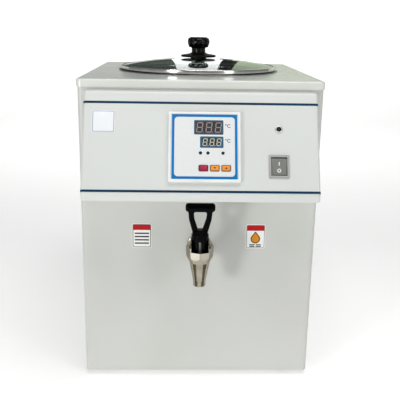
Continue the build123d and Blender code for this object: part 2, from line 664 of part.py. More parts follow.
def outlet_pipe():
    """Short pipe welded into the pot's wall and screwed to the tap's shank."""
    start = SHANK_INSIDE + 2.0
    end = POT_Y - POT_R + 2.0
    pipe = rod(SHANK_R, (0, start, OUTLET_Z), (0, end, OUTLET_Z))
    return pipe - rod(BORE_R, (0, start - 1, OUTLET_Z), (0, end + 1, OUTLET_Z))


COUPLING_START = SHANK_INSIDE - 9.0
COUPLING_END = SHANK_INSIDE + 11.0


def outlet_coupling():
    """Hexagonal coupling that joins the shank and the pipe."""
    nut = hexagon_y(24, COUPLING_START, COUPLING_END, OUTLET_Z)
    return nut - rod(SHANK_R, (0, COUPLING_START - 1, OUTLET_Z), (0, COUPLING_END + 1, OUTLET_Z))


def outlet_heater():
    """Aluminium block on the pipe, with the cartridge heater that keeps the outlet warm."""
    start = COUPLING_END + 1.0
    end = POT_Y - POT_R - POT_WALL - 6.0
    body = span((-15, 15), (start, end), (OUTLET_Z - 22, OUTLET_Z + 12))
    body -= rod(SHANK_R, (0, start - 1, OUTLET_Z), (0, end + 1, OUTLET_Z))
    middle, height = (start + end) / 2, OUTLET_Z - 16
    body -= rod(CARTRIDGE_R, (-20, middle, height), (20, middle, height))
    return Compound([body, rod(CARTRIDGE_R, (-14, middle, height), (19, middle, height))])


# --- Lid --------------------------------------------------------------------------------------
def glass_ball(shrink):
    """Ball whose cap is one face of the glass."""
    return Pos(0, 0, GLASS_APEX - GLASS_BALL_R) * Sphere(GLASS_BALL_R - shrink)


def lid_glass():
    """Shallow glass dome with a hole for the knob's screw."""
    blank = Pos(0, 0, GLASS_EDGE) * Cylinder(GLASS_R, GLASS_T + GLASS_RISE, align=UP)
    dome = blank & glass_ball(0)
    dome -= glass_ball(GLASS_T)
    dome -= Pos(0, 0, GLASS_EDGE) * Cylinder(KNOB_SCREW_R + 0.6, 3 * GLASS_RISE, align=UP)
    return POT * dome


def lid_rim():
    """Steel band round the edge of the glass, with a lip that centres it in the pot."""
    lip_r = POT_R - LID_LIP_GAP
    lip_z = RIM_BOTTOM - LID_LIP - SEAL_T
    wall_r = LID_R - RIM_SHEET
    fold_r = LID_R - RIM_FOLD
    fold_z = GLASS_EDGE + GLASS_T + REST_GAP
    climb = RIM_FOLD * GLASS_R / GLASS_BALL_R
    profile = [(lip_r - RIM_SHEET, lip_z), (lip_r, lip_z), (lip_r, RIM_BOTTOM), (LID_R, RIM_BOTTOM),
               (LID_R, fold_z + RIM_SHEET), (fold_r, fold_z + climb + RIM_SHEET),
               (fold_r, fold_z + climb), (wall_r, fold_z), (wall_r, GLASS_EDGE),
               (lip_r - RIM_SHEET, GLASS_EDGE)]
    return POT * turned(profile)


def lid_seal():
    """Silicone ring under the rim."""
    ring = Cylinder(LID_R - RIM_SHEET, SEAL_T, align=UP)
    ring -= Cylinder(POT_R - LID_LIP_GAP + 0.2, SEAL_T, align=UP)
    return POT * Pos(0, 0, LID_Z) * ring


def lid_knob():
    """Fluted knob on its stem."""
    cap = turned([(0, 0), (KNOB_CAP_FOOT_R, 0), (KNOB_CAP_R, KNOB_CAP_H * 0.55),
                  (KNOB_CAP_R - 1.2, KNOB_CAP_H * 0.8), (KNOB_CAP_R - 5, KNOB_CAP_H),
                  (0, KNOB_CAP_H)])
    groove = Cylinder(KNOB_FLUTE_R, 3 * KNOB_CAP_H)
    reach = KNOB_CAP_R + KNOB_FLUTE_R * 0.62
    cap -= [Rot(0, 0, 360 / KNOB_FLUTES * step) * Pos(reach, 0, 0) * groove
            for step in range(KNOB_FLUTES)]
    stem = Cylinder(KNOB_STEM_R, KNOB_STEM_H + 1, align=DOWN)
    knob = Pos(0, 0, CAP_Z) * (cap + Pos(0, 0, 1) * stem)
    knob -= Pos(0, 0, STEM_Z - 1) * Cylinder(KNOB_SCREW_R, 14, align=UP)
    return POT * knob


def knob_skirt():
    """Flared disc under the stem."""
    profile = [(KNOB_SCREW_R + HOLE_CLEARANCE, 0), (KNOB_SKIRT_R - 0.8, 0), (KNOB_SKIRT_R, 0.8),
               (KNOB_SKIRT_R, KNOB_SKIRT_EDGE), (KNOB_STEM_R, KNOB_SKIRT_EDGE + KNOB_SKIRT_RISE),
               (KNOB_SCREW_R + HOLE_CLEARANCE, KNOB_SKIRT_EDGE + KNOB_SKIRT_RISE)]
    return POT * Pos(0, 0, SKIRT_Z) * turned(profile)


WASHER_TOP = GLASS_APEX - GLASS_T - 0.1
WASHER_T = 1.5


def knob_screw():
    """Screw up through the glass into the knob."""
    seat = WASHER_TOP - WASHER_T
    upright = Rot(180, 0, 0) * screw(STEM_Z + 11 - seat, KNOB_SCREW_R, 5.0, 3.0)
    return POT * Pos(0, 0, seat) * upright


def knob_washers():
    """Silicone pad above the glass and steel washer below it."""
    bore = Cylinder(KNOB_SCREW_R + HOLE_CLEARANCE, 10)
    pad = Pos(0, 0, GLASS_APEX) * (Cylinder(13, KNOB_PAD_T, align=UP) - bore)
    washer = Pos(0, 0, WASHER_TOP) * (Cylinder(9, WASHER_T, align=DOWN) - bore)
    return Compound([POT * pad, POT * washer])


# --- Tap --------------------------------------------------------------------------------------
def tap_body():
    """Cast steel body: octagonal head, tapered spout, and the shank to the casing."""
    head = octagon(BODY_R, -BODY_HEAD, 0)
    head &= turned([(0, -BODY_HEAD), (CONE_TOP_R, -BODY_HEAD), (BODY_R, -BODY_HEAD + 9.5),
                    (BODY_R, 0), (0, 0)])
    spout = turned([(0, SPOUT_END), (SPOUT_R - 0.8, SPOUT_END), (SPOUT_R, SPOUT_END + 0.8),
                    (SPOUT_R + 0.5, LIP_TOP_Z), (CONE_TOP_R - 2.2, -24.5), (CONE_TOP_R, -BODY_HEAD),
                    (0, -BODY_HEAD)])
    body = head + spout
    body += rod(BOSS_R, (0, 0, SHANK_Z), (0, TAP_REACH - 4.5, SHANK_Z))
    body += rod(SHANK_R, (0, 0, SHANK_Z), (0, TAP_REACH + SHANK_INSIDE, SHANK_Z))
    body -= span((-30, 30), (-30, BODY_R), (0, 10))
    body -= Pos(0, 0, SEAT_Z) * Cylinder(CHAMBER_R, -SEAT_Z + 1, align=UP)
    body -= Pos(0, 0, SPOUT_END - 1) * Cylinder(BORE_R, SEAT_Z - SPOUT_END + 2, align=UP)
    body -= rod(BORE_R - 1, (0, 0, SHANK_Z), (0, TAP_REACH + SHANK_INSIDE + 1, SHANK_Z))
    return TAP * body


def tap_bonnet():
    """Flared octagonal bonnet, slotted from front to rear for the handle."""
    cone = turned([(0, 0), (BONNET_R, 0), (BONNET_R, BONNET_SHOULDER), (BONNET_TOP_R, BONNET_TOP),
                   (0, BONNET_TOP)])
    bonnet = octagon(BONNET_R, 0, BONNET_TOP) & cone
    slot = HUB_R + HUB_LEDGE_GAP
    bonnet -= span((-slot, slot), (-30, 30), (LEDGE_Z, BONNET_TOP + 1))
    bonnet += Cylinder(CHAMBER_R - 0.1, 5.0, align=DOWN)
    bonnet -= Pos(0, 0, -5) * Cylinder(CHAMBER_R - 2.4, 5.0, align=UP)
    bonnet -= Cylinder(STEM_R + RUN_CLEARANCE, 40)
    return TAP * bonnet


COLLAR_R = 9.0
CUP_TOP = SEAT_Z + 4.4
COLLAR_T = 1.2
COLLAR_TOP = CUP_TOP + COLLAR_T


def tap_stem():
    """Stem with a collar below and a flat tang, drilled for the pin, above."""
    low = SEAT_Z + 1.5
    stem = Pos(0, 0, low) * Cylinder(STEM_R, PIN_Z + TANG_TOP - low, align=UP)
    stem = fillet(stem.edges().group_by(Axis.Z)[-1], 1.0)
    tang_low = LEDGE_Z - LIFT - HUB_LEDGE_GAP
    for side in (-1, 1):
        x = sorted((side * TANG_T / 2, side * 2 * STEM_R))
        stem -= span(x, (-2 * STEM_R, 2 * STEM_R), (tang_low, PIN_Z + 2 * TANG_TOP))
    stem += Pos(0, 0, CUP_TOP) * Cylinder(COLLAR_R, COLLAR_T, align=UP)
    stem -= Pos(0, 0, PIN_Z) * Rot(0, 90, 0) * Cylinder(PIN_R, 20)
    return TAP * stem


def seat_cup():
    """Silicone cup that closes the outlet."""
    cup = Pos(0, 0, SEAT_Z + REST_GAP) * Cylinder(COLLAR_R - 0.5, CUP_TOP - SEAT_Z - REST_GAP, align=UP)
    cup = fillet(cup.edges().group_by(Axis.Z)[0], 1.2)
    cup -= Pos(0, 0, SEAT_Z + 1.5) * Cylinder(STEM_R, 10, align=UP)
    return TAP * cup


def tap_spring():
    """Compression spring between the collar and the bonnet."""
    low = COLLAR_TOP + SPRING_WIRE_R
    height = -low - SPRING_WIRE_R
    path = Pos(0, 0, low) * Helix(height / SPRING_TURNS, height, SPRING_R)
    wire = sweep(Plane(origin=path @ 0, z_dir=path % 0) * Circle(SPRING_WIRE_R), path, is_frenet=True)
    return TAP * wire


def handle_pin():
    """Pin through the handle and the tang."""
    return TAP * Pos(0, 0, PIN_Z) * Rot(0, 90, 0) * Cylinder(PIN_R, 2 * HUB_R - 1.6)


def cam_outline():
    """Side outline of the handle's foot, whose front turns on the bonnet's ledge and lifts the pin
    by the same amount for each degree. Points are relative to the pin."""
    drop = PIN_Z - LEDGE_Z - HUB_LEDGE_GAP
    points = []
    for step in range(12):
        angle = radians(TILT) * step / 11
        reach = drop + CAM_RISE * angle
        points.append((-reach * sin(angle) - CAM_RISE * cos(angle),
                       -reach * cos(angle) + CAM_RISE * sin(angle)))
    curve = Plane.YZ * Spline(*points)
    first, last = points[0], points[-1]
    top = NECK_Z - PIN_Z
    rest = Plane.YZ * Polyline(last, (-HUB_R, 2.0), (-HUB_R, top), (HUB_R, top), (HUB_R, -drop + 3),
                               (HUB_R - 3, -drop), first)
    return make_face(curve + rest)


def tap_handle():
    """Black handle: cross bar, loop, neck and the hub that sits in the bonnet."""
    bar_z = HANDLE_TOP - BAR_R
    bar = Pos(0, 0, bar_z) * Rot(0, 90, 0) * Cylinder(BAR_R, HANDLE_W)
    bar = fillet(bar.edges().filter_by(GeomType.CIRCLE), BAR_R * 0.72)
    right = [(NECK_W / 2, NECK_Z - 3), (NECK_W / 2, 29.0), (14.8, 46.5), (16.4, bar_z)]
    outline = right + [(-x, z) for x, z in reversed(right)]
    loop = extrude(make_face(Plane.XZ * Polyline(*outline, close=True)), HANDLE_T / 2, both=True)
    loop = fillet(loop.edges().filter_by(Axis.Y).filter_by(
        lambda edge: 40 < edge.center().Z < 50), 14.0)
    window = make_face(Plane.XZ * Polyline((-9.4, 56.8), (9.4, 56.8), (8.4, 47.5), (2.2, 31.2),
                                           (-2.2, 31.2), (-8.4, 47.5), close=True))
    window = fillet(window.vertices().group_by(Axis.Z)[-1], 2.0)
    window = fillet(window.vertices().group_by(Axis.Z)[0], 2.0)
    loop -= extrude(window, HANDLE_T, both=True)
    rim = [edge for edge in loop.edges() if abs(abs(edge.center().Y) - HANDLE_T / 2) < 0.01
           and edge.center().Z < bar_z - 0.1]
    loop = fillet(rim, 2.2)
    hub = Pos(0, 0, -1) * Cylinder(HUB_R, NECK_Z + 1, align=UP)
    hub = fillet(hub.edges().group_by(Axis.Z)[-1], 2.0)
    hub &= Pos(0, 0, PIN_Z) * along_x(cam_outline(), 2 * HUB_R)
    handle = bar + loop + hub
    slot = TANG_T + 2 * HUB_LEDGE_GAP
    handle -= span((-slot / 2, slot / 2), (-30, 30), (-5, PIN_Z + TANG_TOP + 1.0))
    handle -= Pos(0, 0, PIN_Z) * Rot(0, 90, 0) * Cylinder(PIN_R + RUN_CLEARANCE, 4 * HUB_R)
    return TAP * handle


def panel_flange():
    """Steel rosette round the shank in front of the casing."""
    ring = rod(17.0, (0, -4.0, OUTLET_Z), (0, -1.0, OUTLET_Z))
    ring = fillet(ring.edges().group_by(Axis.Y)[0], 1.4)
    return ring - rod(SHANK_R, (0, -10, OUTLET_Z), (0, 1, OUTLET_Z))


def panel_gasket():
    """Silicone gasket between the rosette and the casing."""
    return (rod(16.0, (0, -1.0, OUTLET_Z), (0, 0, OUTLET_Z))
            - rod(SHANK_R, (0, -2, OUTLET_Z), (0, 1, OUTLET_Z)))


def shank_nut():
    """Nut that clamps the tap from inside the casing."""
    nut = hexagon_y(27, SHEET, SHEET + 7, OUTLET_Z)
    return nut - rod(SHANK_R, (0, 0, OUTLET_Z), (0, 20, OUTLET_Z))


# --- Electrical pieces at the rear and on the base --------------------------------------------
FLOOR_IN = FOOT_H + SHEET
INLET = Plane(origin=(INLET_X, CASE_D, INLET_Z), x_dir=(-1, 0, 0), z_dir=(0, 1, 0)).location
INLET_PINS = [(-7, -2), (7, -2), (0, 2)]
PIN_TAIL = 8.0
SOCKET_UP = 9.0
DRAWER_UP = -15.5


def inlet_pins():
    """Contact blades of the inlet, with tails behind it."""
    pin = block(2.0, 4.0, -INLET_DEPTH - PIN_TAIL, -6)
    return [INLET * Pos(x, SOCKET_UP + y, 0) * pin for x, y in INLET_PINS]


def mains_inlet():
    """Power inlet with its recess and a chute for the fuse drawer."""
    body = block(INLET_W, INLET_H, 0, INLET_PROUD, 3.0)
    body = fillet(body.faces().sort_by(Axis.Z)[-1].edges(), 1.0)
    body += block(INLET_W - 4.4, INLET_H - 4.4, -INLET_DEPTH, 0)
    recess = Rectangle(24.5, 17)
    recess = chamfer(recess.vertices().group_by(Axis.Y)[-1], 4.0)
    body -= Pos(0, SOCKET_UP, -14) * extrude(recess, 14 + 2 * INLET_PROUD)
    body -= Pos(0, DRAWER_UP, 0) * block(DRAWER_W + 0.6, DRAWER_H + 0.6, -INLET_DEPTH + 3,
                                        2 * INLET_PROUD)
    return INLET * body - inlet_pins()


def contact_blades():
    """Three contacts through the inlet and four on the back of the switch."""
    tab = block(0.8, 6.3, -SWITCH_DEPTH - 11, -SWITCH_DEPTH)
    tabs = [SWITCH * Pos(x, y, 0) * tab for x in (-6, 6) for y in (-7, 7)]
    return Compound(inlet_pins() + tabs)


def fuse_drawer():
    """Drawer that holds the fuse, with a finger notch in its face."""
    drawer = block(DRAWER_W, DRAWER_H, -INLET_DEPTH + 3.6, INLET_PROUD - 0.2, 0.8)
    drawer -= Pos(0, 1.8, 0) * block(DRAWER_W - 3, DRAWER_H - 1, -INLET_DEPTH + 5, -2.5)
    drawer -= Pos(0, DRAWER_H / 2 - 1, INLET_PROUD) * Box(10, 2.4, 2.4)
    return INLET * Pos(0, DRAWER_UP, 0) * drawer - fuse()


def fuse():
    """Glass fuse in the drawer."""
    body = rod(FUSE_R, (0, 0, 6 - INLET_DEPTH), (0, 0, 26 - INLET_DEPTH))
    return INLET * Pos(0, DRAWER_UP - 1.0, 0) * body


SINK_X, SINK_Y = 88.0, 300.0
SINK_H = 30.0
RELAY_H = 20.0
RELAY_X, RELAY_Y = (-13, 13), (-20, 20)
RELAY_SCREW_Z = FLOOR_IN + SINK_H + RELAY_H - 2.5


def relay_heat_sink():
    """Finned heat sink on the base plate."""
    sink = Pos(SINK_X, SINK_Y, FLOOR_IN) * Box(70, 90, SINK_H, align=UP)
    for step in range(8):
        x = SINK_X - 29.4 + 8.4 * step
        sink -= span((x - 2.4, x + 2.4), (SINK_Y - 50, SINK_Y + 50), (FLOOR_IN + 3, FLOOR_IN + 24))
    return sink


def solid_state_relay():
    """Relay block on the heat sink, with its four screw terminals."""
    relay = Pos(SINK_X, SINK_Y, FLOOR_IN + SINK_H) * Box(44, 58, RELAY_H, align=UP)
    for x in RELAY_X:
        for y in RELAY_Y:
            spot = Pos(SINK_X + x, SINK_Y + y, RELAY_SCREW_Z)
            relay -= spot * Box(11, 12, 7)
            relay += spot * Cylinder(3.6, 4, align=DOWN)
    return relay


BLOCK_X, BLOCK_Y = -96.0, 250.0
BLOCK_D = 22.0
WAYS = [BLOCK_X - 25 + 10 * step for step in range(6)]
WAY_Z = FLOOR_IN + 8
WAY_DEPTH = 4.5


def terminal_block():
    """Six-way terminal block on the base plate."""
    body = Pos(BLOCK_X, BLOCK_Y, FLOOR_IN) * Box(62, BLOCK_D, 18, align=UP)
    for x in WAYS:
        body -= Pos(x, BLOCK_Y, FLOOR_IN + 18) * Cylinder(3.2, 12)
        body += Pos(x, BLOCK_Y, FLOOR_IN + 8) * Cylinder(2.6, 7, align=UP)
        for side in (-1, 1):
            body -= Pos(x, BLOCK_Y + side * BLOCK_D / 2, WAY_Z) * Rot(90, 0, 0) * Cylinder(
                LEAD_R + 0.1, 2 * WAY_DEPTH)
    return body


def lead(points, radii):
    """Cable along straight runs joined by arcs."""
    path = FilletPolyline(*points, radius=radii)
    section = Plane(origin=path @ 0, z_dir=path % 0) * Circle(LEAD_R)
    return sweep(section, path)


def internal_leads():
    """Leads from the inlet and the controller to the terminal block, from the relay to the thermal
    cut-out, and from there to the heater mat."""
    inlet_x, inlet_y = INLET_PINS[2]
    tail = (INLET_X - inlet_x, CASE_D - INLET_DEPTH - PIN_TAIL, INLET_Z + SOCKET_UP + inlet_y)
    rear_way = (WAYS[3], BLOCK_Y + BLOCK_D / 2 - WAY_DEPTH, WAY_Z)
    supply = lead([tail, (tail[0], tail[1] - 34, tail[2]), (rear_way[0], tail[1] - 34, WAY_Z), rear_way],
                  [14, 14])

    end = (CTRL * Pos(STRIP_X[0], STRIP_Y, STRIP_SCREW)).position
    behind_wall = 14.0
    turn_z = end.Z - (behind_wall - end.Y) * tan(SLANT)
    front_way = (WAYS[4], BLOCK_Y - BLOCK_D / 2 + WAY_DEPTH, WAY_Z)
    control = lead([end, (end.X, behind_wall, turn_z), (end.X, behind_wall, WAY_Z),
                    (front_way[0], 90, WAY_Z), front_way], [10, 12, 30])

    cutout_z = FLOOR_Z - POT_WALL - CUTOUT_H - CUTOUT_TAB_H
    left_tab, right_tab = [(CUTOUT_X + x, POT_Y, cutout_z) for x in CUTOUT_TABS]
    screw_x, screw_y, screw_z = SINK_X + RELAY_X[0], SINK_Y + RELAY_Y[0], RELAY_SCREW_Z
    switched = lead([(screw_x, screw_y, screw_z), (screw_x, screw_y, screw_z + 40),
                     (right_tab[0], POT_Y, cutout_z - 40), right_tab], [18, 18])

    mat = PROBE_AT * Rot(0, 0, 60 - PROBE_ANGLE)
    touch, beside = [(mat * Pos(POT_R + POT_WALL + HEATER_T + out, 0, 0)).position
                     for out in (0, 16)]
    entry = HEATER_Z + HEATER_TAIL / 2
    heating = lead([left_tab, (left_tab[0], POT_Y, cutout_z - 24), (beside.X, beside.Y, cutout_z - 24),
                    (beside.X, beside.Y, entry), (touch.X, touch.Y, entry)], [14, 14, 10])
    return Compound([supply, control, switched, heating])


# --- Saving -----------------------------------------------------------------------------------
PIECES = {
    "casing_wrap": casing_wrap, "rear_panel": rear_panel, "base_plate": base_plate,
    "top_cover": top_cover, "casing_screws": casing_screws, "rubber_feet": rubber_feet,
    "control_box": control_box, "accent_stripes": accent_stripes,
    "blank_plate": blank_plate, "front_labels": front_labels,
    "controller_bezel": controller_bezel, "controller_housing": controller_housing,
    "controller_faceplate": controller_faceplate, "display_windows": display_windows,
    "pilot_leds": pilot_leds, "circuit_board": circuit_board,
    "controller_terminals": controller_terminals, "controller_clamps": controller_clamps,
    "indicator_bezel": indicator_bezel, "indicator_lens": indicator_lens,
    "indicator_nut": indicator_nut, "rocker_housing": rocker_housing, "rocker": rocker,
    "pot": pot, "strainer": strainer,
    "pot_heater": pot_heater, "insulation_jacket": insulation_jacket,
    "temperature_probe": temperature_probe,
    "thermal_cutout": thermal_cutout, "outlet_pipe": outlet_pipe,
    "outlet_coupling": outlet_coupling, "outlet_heater": outlet_heater,
    "lid_glass": lid_glass, "lid_rim": lid_rim,
    "lid_seal": lid_seal, "lid_knob": lid_knob, "knob_skirt": knob_skirt,
    "knob_screw": knob_screw, "knob_washers": knob_washers, "tap_body": tap_body,
    "tap_bonnet": tap_bonnet, "tap_stem": tap_stem, "seat_cup": seat_cup,
    "tap_spring": tap_spring, "handle_pin": handle_pin, "tap_handle": tap_handle,
    "panel_flange": panel_flange, "panel_gasket": panel_gasket, "shank_nut": shank_nut,
    "mains_inlet": mains_inlet, "contact_blades": contact_blades, "fuse_drawer": fuse_drawer,
    "fuse": fuse, "relay_heat_sink": relay_heat_sink, "solid_state_relay": solid_state_relay,
    "terminal_block": terminal_block, "internal_leads": internal_leads,
}
for key_name in KEY_X:
    PIECES[key_name] = lambda name=key_name: key(name)

for node, build in PIECES.items():
    export_step(Pos(0, -MIDDLE_Y, 0) * build(), f"parts/{node}.step")
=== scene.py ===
"""Looks of the paraffin wax dispenser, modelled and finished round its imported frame.

Pieces are modelled in millimetres in a frame of their own, such as the slanted panel's or the
tap's, and then moved into the shared frame, which is in metres: x to the right, y to the rear
and z up from the bench.
"""

from __future__ import annotations

import json
import logging
from contextlib import contextmanager
from dataclasses import dataclass
from enum import Enum
from functools import partial
from math import acos, atan2, ceil, cos, degrees, pi, radians, sin, tan
from typing import Any, Callable, Iterable, Iterator

import bmesh
import bpy
from mathutils import Matrix, Vector

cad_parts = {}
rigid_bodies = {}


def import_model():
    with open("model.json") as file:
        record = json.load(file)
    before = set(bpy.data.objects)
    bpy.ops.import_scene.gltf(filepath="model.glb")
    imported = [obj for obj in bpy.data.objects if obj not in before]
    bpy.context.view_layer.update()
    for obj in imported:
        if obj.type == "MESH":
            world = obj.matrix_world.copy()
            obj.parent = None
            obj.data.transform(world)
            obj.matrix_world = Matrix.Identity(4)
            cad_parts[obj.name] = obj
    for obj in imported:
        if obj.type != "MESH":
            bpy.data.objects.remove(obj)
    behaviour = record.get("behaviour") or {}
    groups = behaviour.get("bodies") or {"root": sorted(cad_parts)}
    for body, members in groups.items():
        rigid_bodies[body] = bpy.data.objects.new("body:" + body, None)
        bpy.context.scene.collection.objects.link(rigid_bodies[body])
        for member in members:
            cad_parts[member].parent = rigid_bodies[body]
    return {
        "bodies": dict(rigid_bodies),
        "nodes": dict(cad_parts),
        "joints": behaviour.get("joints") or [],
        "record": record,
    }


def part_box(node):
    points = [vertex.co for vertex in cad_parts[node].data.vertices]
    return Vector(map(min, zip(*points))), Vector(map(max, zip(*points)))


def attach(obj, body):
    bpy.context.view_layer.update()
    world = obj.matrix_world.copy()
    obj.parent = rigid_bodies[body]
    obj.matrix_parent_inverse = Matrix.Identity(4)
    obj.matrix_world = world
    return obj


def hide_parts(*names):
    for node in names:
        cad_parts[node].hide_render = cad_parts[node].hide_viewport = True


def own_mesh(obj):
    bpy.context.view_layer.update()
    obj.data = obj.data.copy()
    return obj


LOG = logging.getLogger("dispenser")
MM = 0.001
ON_AXIS = 1e-5                  # a point nearer to the axis than this lies on it
NOISE_RANGE = (0.3, 0.7)        # nearly all of a noise's values lie in here
WAVE_SCALE = 0.314              # scale of a wave texture for each band in its unit of length
STAND = Matrix.Rotation(pi / 2, 4, "X")
LIE = Matrix.Rotation(pi / 2, 4, "Y")
SIDEWAYS = Matrix(((0, 0, 1, 0), (1, 0, 0, 0), (0, 1, 0, 0), (0, 0, 0, 1)))

Obj = bpy.types.Object
Socket = bpy.types.NodeSocket
Add = Callable[..., Socket]
Inputs = dict[str | int, Any] | Iterable[Any]
Point = tuple[float, float]
Spot = tuple[float, float, float]
Corner = tuple[float, float, float]
Test = Callable[[Vector, Vector], bool]
CAD: dict[str, Obj] = {}


class Way(Enum):
    """The direction that a sheet was brushed in."""

    ACROSS = (1.0, 0.0, 0.0)
    DEEP = (0.0, 1.0, 0.0)


class Join(Enum):
    """How one solid acts on another."""

    UNITE = "UNION"
    CUT = "DIFFERENCE"
    KEEP = "INTERSECT"


class Part(Enum):
    """What is picked in edit mode."""

    EDGES = "EDGE"
    FACES = "FACE"


# --- Materials --------------------------------------------------------------------------------
def linear(code: str) -> tuple[float, float, float, float]:
    """Turns an sRGB hex colour to linear light.

    Args:
        code: colour such as "#C8CAC5".

    Returns:
        Red, green, blue and alpha.
    """
    levels = [int(code[place:place + 2], 16) / 255 for place in (1, 3, 5)]
    return (*[v / 12.92 if v <= 0.04045 else ((v + 0.055) / 1.055) ** 2.4 for v in levels], 1.0)


def per_mm(size: float) -> float:
    """Returns the pattern scale at which one grain is so many millimetres wide."""
    return 1 / (size * MM)


def add_node(tree: bpy.types.NodeTree, kind: str, inputs: Inputs, out: str | int = 0,
             **settings: Any) -> Socket | None:
    """Adds a shader node with its settings, and links or sets its inputs.

    Args:
        tree: the material's or the world's node tree.
        kind: the node's type, without the word ShaderNode.
        inputs: a socket to link or a value to set, by name or number, or the first ones in turn.
        out: the output that is wanted.
        settings: the node's own properties.

    Returns:
        That output, or nothing for the last node.
    """
    node = tree.nodes.new(f"ShaderNode{kind}")
    for name, value in settings.items():
        setattr(node, name, value)
    for name, value in inputs.items() if isinstance(inputs, dict) else enumerate(inputs):
        if isinstance(value, Socket):
            tree.links.new(value, node.inputs[name])
        else:
            node.inputs[name].default_value = value
    return node.outputs[out] if node.outputs else None


@dataclass(frozen=True)
class Finish:
    """A material with its colour and its gloss. Each kind of surface adds its own pattern."""

    name: str
    colour: str
    roughness: float

    def material(self) -> bpy.types.Material:
        """Returns the material, which is made the first time."""
        return bpy.data.materials.get(self.name) or self.make()

    def make(self) -> bpy.types.Material:
        """Makes the material from what its kind sets on the shader.

        Returns:
            The new material.
        """
        material = bpy.data.materials.new(self.name)
        material.use_nodes = True
        material.node_tree.nodes.clear()
        add = partial(add_node, material.node_tree)
        surface = {"Roughness": self.roughness, **self.surface(add, add("TexCoord", (), "Object"))}
        add("OutputMaterial", (add("BsdfPrincipled", surface),))
        return material

    def surface(self, add: Add, place: Socket) -> Inputs:
        """Builds the patterns on object coordinates and returns what they set on the shader."""
        raise NotImplementedError

    def mixed(self, add: Add, value: Socket, low: str, high: str, start: float = 0.3,
              end: float = 0.7) -> Socket:
        """Mixes two hex colours by a value that runs from start to end.

        Args:
            add: adds a node to the material.
            value: the pattern's value.
            low: the colour up to start.
            high: the colour from end on.
            start: value at which the mix begins.
            end: value at which it is done.

        Returns:
            The colour.
        """
        share = add("MapRange", (value, start, end, 0.0, 1.0))
        return add("Mix", {0: share, 6: linear(low), 7: linear(high)}, 2, data_type="RGBA")

    def shaded(self, add: Add, value: Socket, low: float, high: float) -> Socket:
        """Makes the finish's own colour darker or lighter by a noise value.

        Args:
            add: adds a node to the material.
            value: the noise.
            low: brightness where the noise is low.
            high: brightness where it is high.

        Returns:
            The colour.
        """
        level = add("MapRange", (value, *NOISE_RANGE, low, high))
        return add("HueSaturation", {"Value": level, "Color": linear(self.colour)})


@dataclass(frozen=True)
class PowderCoat(Finish):
    """Polyester powder baked on sheet steel: an even satin skin whose light edges swim a little,
    because the melt leaves the low waves called orange peel."""

    shadow: str = "#BFC1BC"
    peel_mm: float = 2.2        # drawn as coarse as it shows: real peel is 1 to 2 mm
    peel_depth: float = 0.012
    gloss: float = 0.0
    drift_mm: float = 160.0     # the tone drifts over a hand's width
    speck_mm: float = 0.7       # single grains of powder that stand out

    def surface(self, add: Add, place: Socket) -> Inputs:
        """Builds paint whose tone drifts, with orange peel in its gloss."""
        cloud = add("TexNoise", {"Vector": place, "Scale": per_mm(self.drift_mm)})
        peel = add("TexNoise", {"Vector": place, "Scale": per_mm(self.peel_mm), "Detail": 1.0})
        speck = add("TexNoise", {"Vector": place, "Scale": per_mm(self.speck_mm), "Detail": 1.0})
        fine = add("Math", (speck, 0.15, peel), operation="MULTIPLY_ADD")
        return {"Base Color": self.mixed(add, cloud, self.shadow, self.colour, 0.2, 0.5),
                "Roughness": add("MapRange", (cloud, *NOISE_RANGE, self.roughness - 0.03,
                                              self.roughness + 0.04)),
                "IOR": 1.5, "Coat Weight": self.gloss, "Coat Roughness": 0.09,
                "Normal": add("Bump", {"Distance": self.peel_depth * MM, "Height": fine})}


@dataclass(frozen=True)
class BrushedSteel(Finish):
    """Stainless sheet drawn under an abrasive belt: fine lines one way, which spread each
    reflection across them."""

    way: Way = Way.ACROSS
    line_mm: float = 0.6        # drawn coarser than the real 0.1 mm lines, so that they show
    depth: float = 0.01
    shadow: str = "#A6A6A4"
    pull: float = 40.0          # how much longer than wide a line is

    def surface(self, add: Add, place: Socket) -> Inputs:
        """Builds metal with noise that is drawn out along the brushing."""
        pull = [1.0 if part else self.pull for part in self.way.value]
        laid = add("Mapping", {"Vector": place, "Scale": pull})
        lines = add("TexNoise", {"Vector": laid, "Scale": per_mm(self.line_mm * self.pull), "Detail": 3.0})
        cloud = add("TexNoise", {"Vector": place, "Scale": per_mm(60.0)})
        return {"Base Color": self.mixed(add, cloud, self.shadow, self.colour),
                "Roughness": add("Math", (lines, 0.16, self.roughness - 0.08), operation="MULTIPLY_ADD"),
                "Metallic": 1.0, "Anisotropic": 0.4,
                "Normal": add("Bump", {"Distance": self.depth * MM, "Height": lines})}


@dataclass(frozen=True)
class PolishedSteel(Finish):
    """Cast or turned stainless steel, belt ground and buffed: bright, with slow waves left by the
    casting and hairlines left by the mop."""

    wave_mm: float = 9.0
    depth: float = 0.05
    shadow: str = "#9A9893"
    hair_mm: float = 8.0        # length of a hairline

    def surface(self, add: Add, place: Socket) -> Inputs:
        """Builds metal with slow waves in its reflections and short hairlines in its gloss."""
        wave = add("TexNoise", {"Vector": place, "Scale": per_mm(self.wave_mm), "Detail": 1.0})
        laid = add("Mapping", {"Vector": place, "Scale": (1.0, 1.0, 14.0)})
        hair = add("TexNoise", {"Vector": laid, "Scale": per_mm(self.hair_mm), "Detail": 4.0})
        return {"Base Color": self.mixed(add, wave, self.shadow, self.colour),
                "Roughness": add("MapRange", (hair, *NOISE_RANGE, self.roughness - 0.04,
                                              self.roughness + 0.08)),
                "Metallic": 1.0,
                "Normal": add("Bump", {"Distance": self.depth * MM, "Height": wave})}


